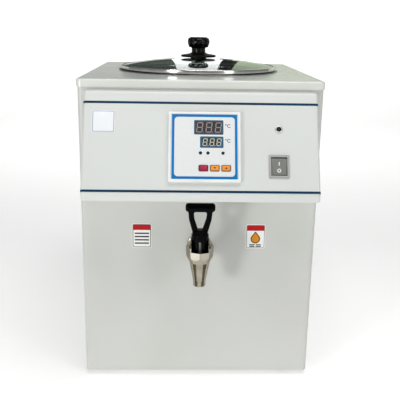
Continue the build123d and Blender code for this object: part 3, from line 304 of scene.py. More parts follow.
@dataclass(frozen=True)
class PlatedSteel(Finish):
    """Zinc or tin plated steel: bluish or yellowish grey, with a faint crystal pattern and dull
    patches where it was handled."""

    crystal_mm: float = 4.0
    shadow: str = "#8E908F"

    def surface(self, add: Add, place: Socket) -> Inputs:
        """Builds metal whose tone and gloss change from crystal to crystal."""
        crystal = add("TexVoronoi", {"Vector": place, "Scale": per_mm(self.crystal_mm)}, "Color")
        tone = add("SeparateColor", (crystal,))
        return {"Base Color": self.mixed(add, tone, self.shadow, self.colour, 0.0, 1.0),
                "Roughness": add("MapRange", (tone, 0.0, 1.0, self.roughness, self.roughness + 0.12)),
                "Metallic": 1.0}


@dataclass(frozen=True)
class MouldedPlastic(Finish):
    """Injection moulded plastic: the colour goes right through, and the mould's spark-eroded
    steel leaves a fine grain, or a mirror skin where the mould was polished."""

    grain_mm: float = 0.5       # drawn as coarse as it shows: real grain is about 0.1 mm
    depth: float = 0.01
    gloss: float = 0.0
    ior: float = 1.5
    sink_mm: float = 14.0       # slow waves where thick walls shrank
    flow_mm: float = 30.0       # faint change of tone that the melt's flow leaves

    def surface(self, add: Add, place: Socket) -> Inputs:
        """Builds plastic with the mould's grain and slow sink waves in its skin."""
        grain = add("TexNoise", {"Vector": place, "Scale": per_mm(self.grain_mm)})
        sink = add("TexNoise", {"Vector": place, "Scale": per_mm(self.sink_mm), "Detail": 1.0})
        skin = add("Math", (sink, 0.6, grain), operation="MULTIPLY_ADD")
        flow = add("TexNoise", {"Vector": place, "Scale": per_mm(self.flow_mm)})
        return {"Base Color": self.shaded(add, flow, 0.93, 1.05),
                "Roughness": add("MapRange", (sink, *NOISE_RANGE, self.roughness - 0.03,
                                              self.roughness + 0.05)),
                "IOR": self.ior, "Coat Weight": self.gloss, "Coat Roughness": 0.05,
                "Normal": add("Bump", {"Distance": self.depth * MM, "Height": skin})}


@dataclass(frozen=True)
class PrintedFilm(Finish):
    """Screen-printed polyester film: flat, dense ink under a smooth skin, slightly uneven where
    the film was pressed down by thumb."""

    gloss: float = 0.3
    bite: float = 1.5           # refractive index: low for deep, matt inks
    screen_mm: float = 1.2      # drawn coarser than the real 0.1 mm mesh, so that it shows
    thumb_mm: float = 11.0

    def surface(self, add: Add, place: Socket) -> Inputs:
        """Builds ink with the screen's faint unevenness under a thin clear skin."""
        ink = add("TexNoise", {"Vector": place, "Scale": per_mm(self.screen_mm), "Detail": 3.0})
        press = add("TexNoise", {"Vector": place, "Scale": per_mm(self.thumb_mm), "Detail": 1.0})
        return {"Base Color": self.shaded(add, ink, 0.95, 1.03), "IOR": self.bite,
                "Coat Weight": self.gloss, "Coat Roughness": 0.15,
                "Normal": add("Bump", {"Distance": 0.03 * MM, "Height": press})}


@dataclass(frozen=True)
class ClearGlass(Finish):
    """Toughened soda-lime glass: clear, with a green breath at its edge and the faint waves that
    the bending over a mould leaves."""

    def surface(self, add: Add, place: Socket) -> Inputs:
        """Builds glass with bending waves and a film of wax haze in its gloss."""
        wave = add("TexNoise", {"Vector": place, "Scale": per_mm(45.0), "Detail": 0.0})
        haze = add("TexNoise", {"Vector": place, "Scale": per_mm(22.0), "Detail": 3.0})
        return {"Base Color": linear(self.colour), "IOR": 1.52, "Transmission Weight": 1.0,
                "Roughness": add("MapRange", (haze, 0.5, 0.8, 0.0, self.roughness)),
                "Normal": add("Bump", {"Distance": 0.08 * MM, "Height": wave})}


@dataclass(frozen=True)
class TintedResin(Finish):
    """Cast or moulded clear resin with a dye in it, such as a lens or a display's filter: its
    edges glow a little, because part of the light goes through."""

    clear: float = 0.5

    def surface(self, add: Add, place: Socket) -> Inputs:
        """Builds a dyed body that lets part of the light through a glossy skin."""
        flow = add("TexNoise", {"Vector": place, "Scale": per_mm(6.0)})
        return {"Base Color": self.shaded(add, flow, 0.9, 1.06), "IOR": 1.49,
                "Transmission Weight": self.clear,
                "Normal": add("Bump", {"Distance": 0.01 * MM, "Height": flow})}


@dataclass(frozen=True)
class SoftRubber(Finish):
    """Moulded silicone or natural rubber: matt and slightly waxy, with a bloom of dust."""

    bloom: str = "#8C8C88"
    depth: float = 0.03

    def surface(self, add: Add, place: Socket) -> Inputs:
        """Builds rubber with a dusty bloom in patches and the mould's matt grain."""
        dust = add("TexNoise", {"Vector": place, "Scale": per_mm(12.0), "Detail": 5.0})
        grain = add("TexNoise", {"Vector": place, "Scale": per_mm(0.6)})
        return {"Base Color": self.mixed(add, dust, self.colour, self.bloom, 0.45, 0.9), "IOR": 1.41,
                "Normal": add("Bump", {"Distance": self.depth * MM, "Height": grain})}


@dataclass(frozen=True)
class FibreFelt(Finish):
    """Needled glass-fibre felt: a tangle of pale fibres with loose tufts and no gloss at all."""

    shadow: str = "#8F8A74"

    def surface(self, add: Add, place: Socket) -> Inputs:
        """Builds felt with tufts a few millimetres across and single fibres on them."""
        tuft = add("TexNoise", {"Vector": place, "Scale": per_mm(6.0), "Detail": 6.0})
        laid = add("Mapping", {"Vector": place, "Scale": (1.0, 1.0, 8.0)})
        fibre = add("TexNoise", {"Vector": laid, "Scale": per_mm(2.4), "Detail": 6.0})
        height = add("Math", (tuft, fibre), operation="ADD")
        return {"Base Color": self.mixed(add, fibre, self.shadow, self.colour),
                "Sheen Weight": 0.4, "Sheen Roughness": 0.5,
                "Normal": add("Bump", {"Distance": 0.8 * MM, "Height": height})}


@dataclass(frozen=True)
class StudioPaper(Finish):
    """Wide roll of white studio paper: matt, with fibres too fine to see from here."""

    glow: float = 0.37

    def surface(self, add: Add, place: Socket) -> Inputs:
        """Builds paper that stays white in the picture's corners."""
        fibre = add("TexNoise", {"Vector": place, "Scale": per_mm(2.0)})
        return {"Base Color": self.shaded(add, fibre, 0.97, 1.0),
                "Emission Color": linear(self.colour), "Emission Strength": self.glow}


@dataclass(frozen=True)
class WovenLaminate(Finish):
    """Glass cloth in epoxy, as in a circuit board: the weave shows faintly under the lacquer."""

    thread_mm: float = 1.0      # drawn at twice the real thread spacing, so that it shows
    shadow: str = "#0B3A1E"

    def surface(self, add: Add, place: Socket) -> Inputs:
        """Builds lacquer over a weave of two crossed waves."""
        scale = WAVE_SCALE * per_mm(self.thread_mm)
        waves = [add("TexWave", {"Vector": place, "Scale": scale}, 1, bands_direction=way)
                 for way in ("X", "Z")]
        weave = add("Math", waves, operation="MULTIPLY")
        return {"Base Color": self.mixed(add, weave, self.shadow, self.colour, 0.0, 1.0),
                "Coat Weight": 0.4, "Coat Roughness": 0.1,
                "Normal": add("Bump", {"Distance": 0.03 * MM, "Height": weave})}


# These three powder coats are partly one paint in lit and shaded copies. The casing's is darker to paint
# the shade on its upright front. The box's is lighter to paint the light on its slanted face. The cover's
# is tuned to the light on its top.
GREY_PAINT = PowderCoat("powder_coat_light_grey", "#CACBC6", 0.36, "#C2C4BE")
WHITE_PAINT = PowderCoat("powder_coat_off_white", "#D2D5D1", 0.34, "#CDCFCB", gloss=0.1)
COVER_PAINT = PowderCoat("powder_coat_satin_white", "#D6D8D2", 0.26, "#CCCEC7", 2.6, 0.01, 0.35)
NAVY_FILM = PrintedFilm("printed_film_navy", "#04304A", 0.34, 0.0, 1.35)
WHITE_FILM = PrintedFilm("printed_label_white", "#F0F0EC", 0.3)
LABEL_LINE = PrintedFilm("printed_line_grey", "#4E4848", 0.4, 0.0, 1.35)
RED_INK = PrintedFilm("printed_band_red", "#B40A18", 0.4, 0.0, 1.3)
DARK_INK = PrintedFilm("printed_rule_grey", "#1C1C1E", 0.4, 0.0, 1.3)
AMBER_INK = PrintedFilm("printed_drop_amber", "#D88A0C", 0.35, 0.0, 1.35)
PLATE_INK = PrintedFilm("printed_border_blue_grey", "#7C8CA6", 0.4)
PLATE_METAL = PowderCoat("white_enamelled_aluminium", "#E9EBED", 0.25, "#E2E4E7", 1.8, 0.006, 0.1)
POT_STEEL = BrushedSteel("brushed_stainless_pot", "#A2A29C", 0.32, Way.ACROSS, 0.8, 0.01, "#90908A")
STRAINER_STEEL = BrushedSteel("pierced_stainless_sheet", "#A8A8A4", 0.3, Way.DEEP)
TAP_STEEL = PolishedSteel("polished_cast_stainless", "#ABA599", 0.11, 11.0, 0.03, "#9A9384")
STEM_STEEL = PolishedSteel("turned_stainless_stem", "#EDEDEA", 0.32, 5.0, 0.01, "#DADAD6")
RIM_STEEL = PolishedSteel("polished_rolled_stainless", "#E4E4E2", 0.12, 14.0, 0.02, "#CFCFCC")
SATIN_NICKEL = PolishedSteel("satin_nickel_ring", "#E6E6E3", 0.3, 4.0, 0.004, "#D2D2CF")
ZINC = PlatedSteel("zinc_plated_steel", "#C2C5C6", 0.3)
BRASS = PlatedSteel("nickel_plated_brass", "#C9AE6A", 0.24, 3.0)
CAST_ALUMINIUM = PlatedSteel("sand_cast_aluminium", "#C6C7C8", 0.46, 1.2)
HEAT_SINK = PlatedSteel("black_anodised_aluminium", "#3A3A3D", 0.38, 1.5)
FOOT_RUBBER = SoftRubber("moulded_foot_rubber", "#161616", 0.7, "#2C2C2A")
# Black silicone for the lid's seal, the knob's washers and the bead on the glass. It is black so that it
# paints the dark shade lines under the rim and under the knob.
SHADE_DARK_SILICONE = SoftRubber("black_silicone_painted_shade", "#141414", 0.5, "#242422")
WHITE_SILICONE = SoftRubber("translucent_white_silicone", "#D8D5CB", 0.5, "#E6E4DC")
HEATER_MAT = SoftRubber("brick_red_heater_silicone", "#8F3523", 0.6, "#A65A45", 0.12)
LEAD_SLEEVE = SoftRubber("silicone_lead_sleeve", "#2A2A2C", 0.55, "#3E3E3C")
FELT = FibreFelt("glass_fibre_felt", "#CFC9B2", 0.95)
LID_GLASS = ClearGlass("toughened_soda_lime_glass", "#E4EEE7", 0.04)
FUSE_GLASS = ClearGlass("drawn_fuse_glass", "#F4F8F8", 0.05)
KNOB_PLASTIC = MouldedPlastic("black_phenolic_polished", "#030304", 0.16, 0.8, 0.003, 0.0, 1.32)
SKIRT_PLASTIC = MouldedPlastic("black_phenolic_skirt", "#030304", 0.42, 0.8, 0.003, 0.0, 1.25)
HANDLE_PLASTIC = MouldedPlastic("black_phenolic_satin", "#020203", 0.14, 0.8, 0.004, 0.0, 1.14)
BLACK_PLASTIC = MouldedPlastic("black_abs_matt", "#1C1C1E", 0.5)
IVORY_PLASTIC = MouldedPlastic("pale_ivory_abs", "#E6E7E5", 0.4)
PALE_PLASTIC = MouldedPlastic("natural_nylon", "#DAD7CB", 0.5)
BOARD = WovenLaminate("green_circuit_laminate", "#1D6B39", 0.35)
WINDOW_TINT = TintedResin("smoked_display_filter", "#3C4042", 0.12, 0.1)
RIM_INK = PrintedFilm("printed_rim_teal_grey", "#1E5168", 0.35)
RIM_INK_BLUE = PrintedFilm("printed_rim_slate_blue", "#17597C", 0.35)
DIGIT_ROSE = TintedResin("unlit_digit_rose", "#A58C8A", 0.3, 0.1)
DIGIT_PALE = TintedResin("unlit_digit_pale", "#C6C5B0", 0.3, 0.1)
SIGN_INK = PrintedFilm("printed_sign_slate", "#0C4A80", 0.4, 0.0, 1.35)
MARK_INK = PrintedFilm("printed_mark_slate", "#2C5262", 0.4, 0.0, 1.35)
LED_RESIN = TintedResin("dark_led_resin", "#0A2A33", 0.15, 0.2)
LAMP_LENS = TintedResin("olive_lamp_lens", "#55502C", 0.08, 0.4)
FACE_FILM = PrintedFilm("printed_film_white", "#DEE0DF", 0.35, 0.1)
BLUE_FILM = PrintedFilm("printed_film_blue", "#0072B4", 0.32, 0.0, 1.35)
RED_KEY = MouldedPlastic("crimson_silicone_key", "#A40C3A", 0.45)
RED_RIM = MouldedPlastic("dark_crimson_key_edge", "#5E0A24", 0.45)
ORANGE_KEY = MouldedPlastic("amber_silicone_key", "#F08C18", 0.45)
KEY_RIM = MouldedPlastic("brown_key_edge", "#77624C", 0.45)
SWITCH_GREY = MouldedPlastic("neutral_grey_nylon", "#A3A49F", 0.4)
ROCKER_GREY = MouldedPlastic("mid_grey_nylon", "#777975", 0.38)
WHITE_PAPER = StudioPaper("matt_white_paper", "#F7F7F6", 0.9)


# --- Modelling helpers ------------------------------------------------------------------------
def only(*objects: Obj) -> None:
    """Selects these objects and nothing else, the first one active."""
    bpy.ops.object.select_all(action="DESELECT")
    for obj in objects:
        obj.select_set(True)
    bpy.context.view_layer.objects.active = objects[0]


@contextmanager
def editing(obj: Obj, part: Part) -> Iterator[None]:
    """Holds one object in edit mode, all selected at first, and leaves it afterwards."""
    only(obj)
    bpy.ops.object.mode_set(mode="EDIT")
    bpy.ops.mesh.select_mode(type=part.value)
    bpy.ops.mesh.select_all(action="SELECT")
    yield
    bpy.ops.object.mode_set(mode="OBJECT")


def pick_edges(obj: Obj, test: Test) -> None:
    """Selects the edges that pass a test, in edit mode.

    Args:
        obj: the object in edit mode.
        test: gets each edge's middle and the direction that it runs in.
    """
    bpy.ops.mesh.select_mode(type=Part.EDGES.value)
    bpy.ops.mesh.select_all(action="DESELECT")
    mesh = bmesh.from_edit_mesh(obj.data)
    for edge in mesh.edges:
        start, end = (vertex.co for vertex in edge.verts)
        if test((start + end) / 2, (end - start).normalized()):
            edge.select_set(True)
    mesh.select_flush_mode()
    bmesh.update_edit_mesh(obj.data)


def rounded(corners: list[Corner], step: float = 15.0) -> list[Point]:
    """Lays out a closed outline with arcs at its corners.

    Args:
        corners: x, y and radius of each corner in turn.
        step: degrees of arc from point to point.

    Returns:
        The outline's points.
    """
    points: list[Point] = []
    for index, (x, y, radius) in enumerate(corners):
        if not radius:
            points.append((x, y))
            continue
        here = Vector((x, y))
        back = (Vector(corners[index - 1][:2]) - here).normalized()
        on = (Vector(corners[(index + 1) % len(corners)][:2]) - here).normalized()
        half = back.angle(on) / 2
        centre = here + (back + on).normalized() * radius / sin(half)
        start = here + back * radius / tan(half) - centre
        end = here + on * radius / tan(half) - centre
        first = atan2(start.y, start.x)
        turn = (atan2(end.y, end.x) - first + pi) % (2 * pi) - pi
        count = max(2, ceil(abs(degrees(turn)) / step))
        points += [(centre.x + radius * cos(first + turn * n / count),
                    centre.y + radius * sin(first + turn * n / count)) for n in range(count + 1)]
    return points


def plate_outline(width: float, height: float, radius: float, x: float = 0.0,
                  y: float = 0.0) -> list[Point]:
    """Lays out a rectangle with rounded corners round a middle point."""
    a, b = width / 2, height / 2
    return rounded([(x - a, y - b, radius), (x + a, y - b, radius),
                    (x + a, y + b, radius), (x - a, y + b, radius)])


def disc(radius: float, count: int = 32) -> list[Point]:
    """Lays out a circle round the origin."""
    return [(radius * cos(2 * pi * n / count), radius * sin(2 * pi * n / count))
            for n in range(count)]


def drawn(name: str, points: Iterable[Spot], filled: bool = False) -> Obj:
    """Draws a closed line by moving the points of a circle on to it.

    Args:
        name: the piece's name.
        points: the line's points in turn.
        filled: whether the line gets a face.

    Returns:
        The new object.
    """
    places = list(points)
    bpy.ops.object.select_all(action="DESELECT")
    bpy.ops.mesh.primitive_circle_add(vertices=len(places), radius=1.0,
                                      fill_type="NGON" if filled else "NOTHING")
    piece = bpy.context.object
    piece.name = name
    for vertex, place in zip(piece.data.vertices, places):
        vertex.co = place
    return piece


def slab(name: str, points: Iterable[Point], low: float, high: float) -> Obj:
    """Raises an outline in x and y.

    Args:
        name: the piece's name.
        points: the outline's points in turn.
        low: height of its lower face.
        high: height of its upper face.

    Returns:
        The raised piece.
    """
    piece = drawn(name, [(x, y, low) for x, y in points], True)
    with editing(piece, Part.FACES):
        bpy.ops.mesh.extrude_region_move(TRANSFORM_OT_translate={"value": (0.0, 0.0, high - low)})
        bpy.ops.mesh.select_all(action="SELECT")
        bpy.ops.mesh.normals_make_consistent(inside=False)
    return piece


def plate(name: str, width: float, height: float, radius: float, low: float, high: float) -> Obj:
    """Raises a rectangle with rounded corners round the origin and returns the piece."""
    return slab(name, plate_outline(width, height, radius), low, high)


def turned(name: str, profile: Iterable[Point], steps: int = 72) -> Obj:
    """Spins a closed profile of radius and height round the upright axis.

    Args:
        name: the piece's name.
        profile: radius and height of each point. A run along the axis is left out.
        steps: facets in the full turn.

    Returns:
        The turned piece.
    """
    piece = drawn(name, [(radius, 0.0, height) for radius, height in profile])
    with editing(piece, Part.EDGES):
        pick_edges(piece, lambda middle, along: abs(middle.x) < ON_AXIS)
        bpy.ops.mesh.delete(type="EDGE")
        bpy.ops.mesh.select_all(action="SELECT")
        bpy.ops.mesh.spin(steps=steps, angle=2 * pi, center=(0.0, 0.0, 0.0), axis=(0.0, 0.0, 1.0),
                          use_auto_merge=True)
        bpy.ops.mesh.select_all(action="SELECT")
        bpy.ops.mesh.remove_doubles(threshold=0.001)
        bpy.ops.mesh.normals_make_consistent(inside=False)
    return piece


def moved(piece: Obj, move: Matrix) -> Obj:
    """Moves or turns a piece's mesh.

    Args:
        piece: the piece, whose object stays at the origin.
        move: the move or turn.

    Returns:
        The piece.
    """
    piece.data.transform(move)
    piece.data.update()
    return piece


def modified(piece: Obj, kind: str, **settings: Any) -> Obj:
    """Adds a modifier and applies it.

    Args:
        piece: the piece.
        kind: the modifier's type.
        settings: the modifier's own properties.

    Returns:
        The piece.
    """
    only(piece)
    bpy.ops.object.modifier_add(type=kind)
    modifier = piece.modifiers[-1]
    for name, value in settings.items():
        setattr(modifier, name, value)
    bpy.ops.object.modifier_apply(modifier=modifier.name)
    return piece


def bevelled(piece: Obj, width: float, segments: int = 3, angle: float = 30.0) -> Obj:
    """Rounds every edge sharper than an angle in degrees and returns the piece."""
    return modified(piece, "BEVEL", width=width, segments=segments, limit_method="ANGLE",
                    angle_limit=radians(angle))


def eased(piece: Obj, test: Test, width: float, segments: int = 3) -> Obj:
    """Rounds some edges.

    Args:
        piece: the piece.
        test: gets each edge's middle and direction, and picks it or not.
        width: how far the round reaches from the edge.
        segments: facets of the round.

    Returns:
        The piece.
    """
    with editing(piece, Part.EDGES):
        pick_edges(piece, test)
        bpy.ops.mesh.bevel(offset=width, segments=segments, affect="EDGES")
    return piece


def combined(piece: Obj, how: Join, *others: Obj) -> Obj:
    """Joins or cuts a solid with others in turn, or keeps what they share.

    Args:
        piece: the solid.
        how: what the others do to it.
        others: the other solids, which are used up.

    Returns:
        The piece.
    """
    for other in others:
        modified(piece, "BOOLEAN", operation=how.value, object=other, solver="EXACT")
        bpy.data.objects.remove(other)
    return piece


def ring_slab(name: str, outer: list[Point], inner: list[Point], low: float, high: float) -> Obj:
    """Raises the strip between two outlines and returns the piece."""
    return combined(slab(name, outer, low, high), Join.CUT, slab("hole", inner, low - 1, high + 1))


def gathered(name: str, pieces: list[Obj]) -> Obj:
    """Makes several meshes one object.

    Args:
        name: the object's name.
        pieces: the meshes.

    Returns:
        The object.
    """
    only(*pieces)
    bpy.ops.object.join()
    pieces[0].name = name
    return pieces[0]


def repeated(piece: Obj, moves: Iterable[Matrix]) -> Obj:
    """Copies a piece to each place, each copy with its own mesh, and makes them one object.

    Args:
        piece: the model, which is used up.
        moves: where each copy goes.

    Returns:
        The copies as one object with the model's name.
    """
    copies = []
    for move in moves:
        only(piece)
        bpy.ops.object.duplicate()
        copies.append(moved(bpy.context.object, move))
    name = piece.name
    bpy.data.objects.remove(piece)
    return gathered(name, copies)


def frame_at(origin: Vector, across: Vector, up: Vector) -> Matrix:
    """Returns the matrix from millimetres in a frame, given by its origin, x and y, to metres."""
    turn = Matrix((across, up, across.cross(up))).transposed().to_4x4()
    return Matrix.Translation(origin) @ turn @ Matrix.Scale(MM, 4)


def shift(x: float = 0.0, y: float = 0.0, z: float = 0.0) -> Matrix:
    """Returns a move by so many millimetres."""
    return Matrix.Translation((x, y, z))


def dress(**finishes: Finish) -> None:
    """Gives CAD nodes their finishes through their material slots.

    Args:
        finishes: each node's name and its finish.
    """
    for node, finish in finishes.items():
        for slot in CAD[node].material_slots:
            slot.material = finish.material()
        LOG.info("%s keeps its CAD shape, in %s", node, finish.name)


# --- Sub-assemblies ---------------------------------------------------------------------------
@dataclass
class SubAssembly:
    """Pieces made in one frame, in millimetres, and set in place together."""

    place: Matrix
    body: str = "cabinet"

    def fit(self, piece: Obj, finish: Finish, slot: str, stands_for: tuple[str, ...] = (),
            body: str = "", angle: float = 35.0) -> Obj:
        """Finishes a piece, sets it in place and hangs it on its body.

        Args:
            piece: the modelled piece.
            finish: its material.
            slot: the record's material slot; not used.
            stands_for: the CAD nodes that it replaces.
            body: the body that it moves with, if not the sub-assembly's own.
            angle: degrees past which an edge stays sharp to the eye.

        Returns:
            The piece.
        """
        only(piece)
        bpy.ops.object.shade_smooth_by_angle(angle=radians(angle))
        moved(piece, self.place)
        piece.data.materials.clear()
        piece.data.materials.append(finish.material())
        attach(piece, body or self.body)
        if stands_for:
            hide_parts(*stands_for)
        LOG.info("%s made in %s", piece.name, finish.name)
        return piece


@dataclass
class Casing(SubAssembly):
    """Folded casing with its cover, its base, its feet and the two labels."""

    label_x: float = 82.4
    label_width: float = 28.5
    label_height: float = 37.0
    film: float = 0.3
    ink: float = 0.05
    margin: float = 2.0         # bare paper outside the frame, on both sides together
    inset: float = 1.7          # from the label's edge to the band
    band: float = 8.0

    def build(self) -> None:
        """Dresses the sheets and prints the labels."""
        dress(casing_wrap=GREY_PAINT, rear_panel=GREY_PAINT, base_plate=GREY_PAINT,
              top_cover=COVER_PAINT, casing_screws=ZINC, rubber_feet=FOOT_RUBBER,
              front_labels=WHITE_FILM)
        front = self.place
        for name, side, line in (("left", -1, 1.9), ("right", 1, 1.2)):
            self.place = front @ shift(side * self.label_x)
            self.print_frame(name, line)
            if name == "left":
                self.print_rules()
            else:
                self.print_drop()

    def print_frame(self, name: str, line: float) -> None:
        """Prints what both labels have: a frame and a red band.

        Args:
            name: which label.
            line: width of the frame's two sides together.
        """
        low, high = self.film, self.film + self.ink
        wide, tall = self.label_width - self.margin, self.label_height - self.margin
        frame = ring_slab(f"label_{name}_frame", plate_outline(wide, tall, 2.0),
                          plate_outline(wide - line, tall - line, 1.4), low, high)
        self.fit(frame, LABEL_LINE, "label_film")
        top, half = self.label_height / 2 - self.inset, self.label_width / 2 - self.inset
        under = top - self.band
        band = slab(f"label_{name}_band", rounded([(-half, under, 0.0), (half, under, 0.0),
                                                   (half, top, 1.4), (-half, top, 1.4)]),
                    low, high + 0.02)
        self.fit(band, RED_INK, "label_film")

    def print_rules(self) -> None:
        """Prints the left label's four plain rules."""
        rule = plate("label_left_rules", 20.8, 2.0, 0.6, self.film, self.film + self.ink)
        rows = repeated(rule, [shift(0.0, 3.8 - 5.0 * row) for row in range(4)])
        self.fit(rows, DARK_INK, "label_film")

    def print_drop(self) -> None:
        """Prints the right label's drop of wax, with its light core, and the bars below it."""
        low, high = self.film, self.film + self.ink
        self.fit(slab("label_right_drop", self.drop(6.9, 11.4), low, high), DARK_INK, "label_film")
        core = slab("label_right_drop_core", self.drop(5.5, 9.4), low, high + self.ink)
        self.fit(core, AMBER_INK, "label_film")
        bar = plate("label_right_bars", 7.8, 1.6, 0.6, low, high)
        bars = repeated(bar, [shift(4.6 * way, -12.6 - row) for way in (-1, 1) for row in (0.0, 2.6)])
        self.fit(bars, DARK_INK, "label_film")

    def drop(self, radius: float, reach: float, low: float = -3.6) -> list[Point]:
        """Lays out a drop of wax, an arc whose two ends run up to a point.

        Args:
            radius: radius of the arc.
            reach: from the arc's middle to the point.
            low: height of the arc's middle.

        Returns:
            The outline's points.
        """
        start = pi / 2 + acos(radius / reach)
        turn = 2 * pi - 2 * acos(radius / reach)
        arc = [(radius * cos(start + turn * n / 28), low + radius * sin(start + turn * n / 28))
               for n in range(29)]
        return arc + [(0.0, low + reach)]


@dataclass
class ControlBox(SubAssembly):
    """Slanted box with its two stripes and the plain plate. Its frame lies on the panel."""

    plate_size: float = 31.0
    border: Point = (2.2, 3.8)  # how much smaller than the plate the printed frame is, out and in
    plate_thick: float = 0.8
    plate_x: float = -134.6
    plate_y: float = 34.4
    stripe_ends: Point = (-158.3, 149.7)
    stripe_rows: tuple[float, float] = (61.2, -59.8)
    stripe_width: float = 3.1
    fold: float = 4.0
    film: float = 0.3

    def stripes(self) -> None:
        """Makes the two strips of film, which go round the folds at both ends."""
        left, right = self.stripe_ends
        turn = [radians(90 + 7 * step) for step in range(11)]

        def bend(x: float, radius: float, way: int) -> list[Point]:
            """Lays out one end of the strip round its fold."""
            return [(x + way * radius * cos(a), radius * sin(a) - self.fold) for a in turn]
        outer = bend(left, self.fold + self.film, 1)[::-1] + bend(right, self.fold + self.film, -1)
        inner = bend(right, self.fold, -1)[::-1] + bend(left, self.fold, 1)
        strip = slab("stripe_film", outer + inner, -self.stripe_width / 2, self.stripe_width / 2)
        strips = repeated(moved(strip, STAND), [shift(0.0, row) for row in self.stripe_rows])
        self.fit(strips, NAVY_FILM, "stripe_paint", ("accent_stripes",))

    def build(self) -> None:
        """Dresses the box and makes the two stripes and the plate with its border."""
        dress(control_box=WHITE_PAINT)
        self.stripes()
        self.place = self.place @ shift(self.plate_x, self.plate_y)
        sheet = plate("blank_plate_sheet", self.plate_size, self.plate_size, 0.6, 0.0, self.plate_thick)
        self.fit(bevelled(sheet, 0.15, 2), PLATE_METAL, "bare_plate", ("blank_plate",))
        outer, inner = (self.plate_size - less for less in self.border)
        border = ring_slab("blank_plate_border", plate_outline(outer, outer, 0.8),
                           plate_outline(inner, inner, 0.5), self.plate_thick, self.plate_thick + 0.05)
        self.fit(border, PLATE_INK, "bare_plate")


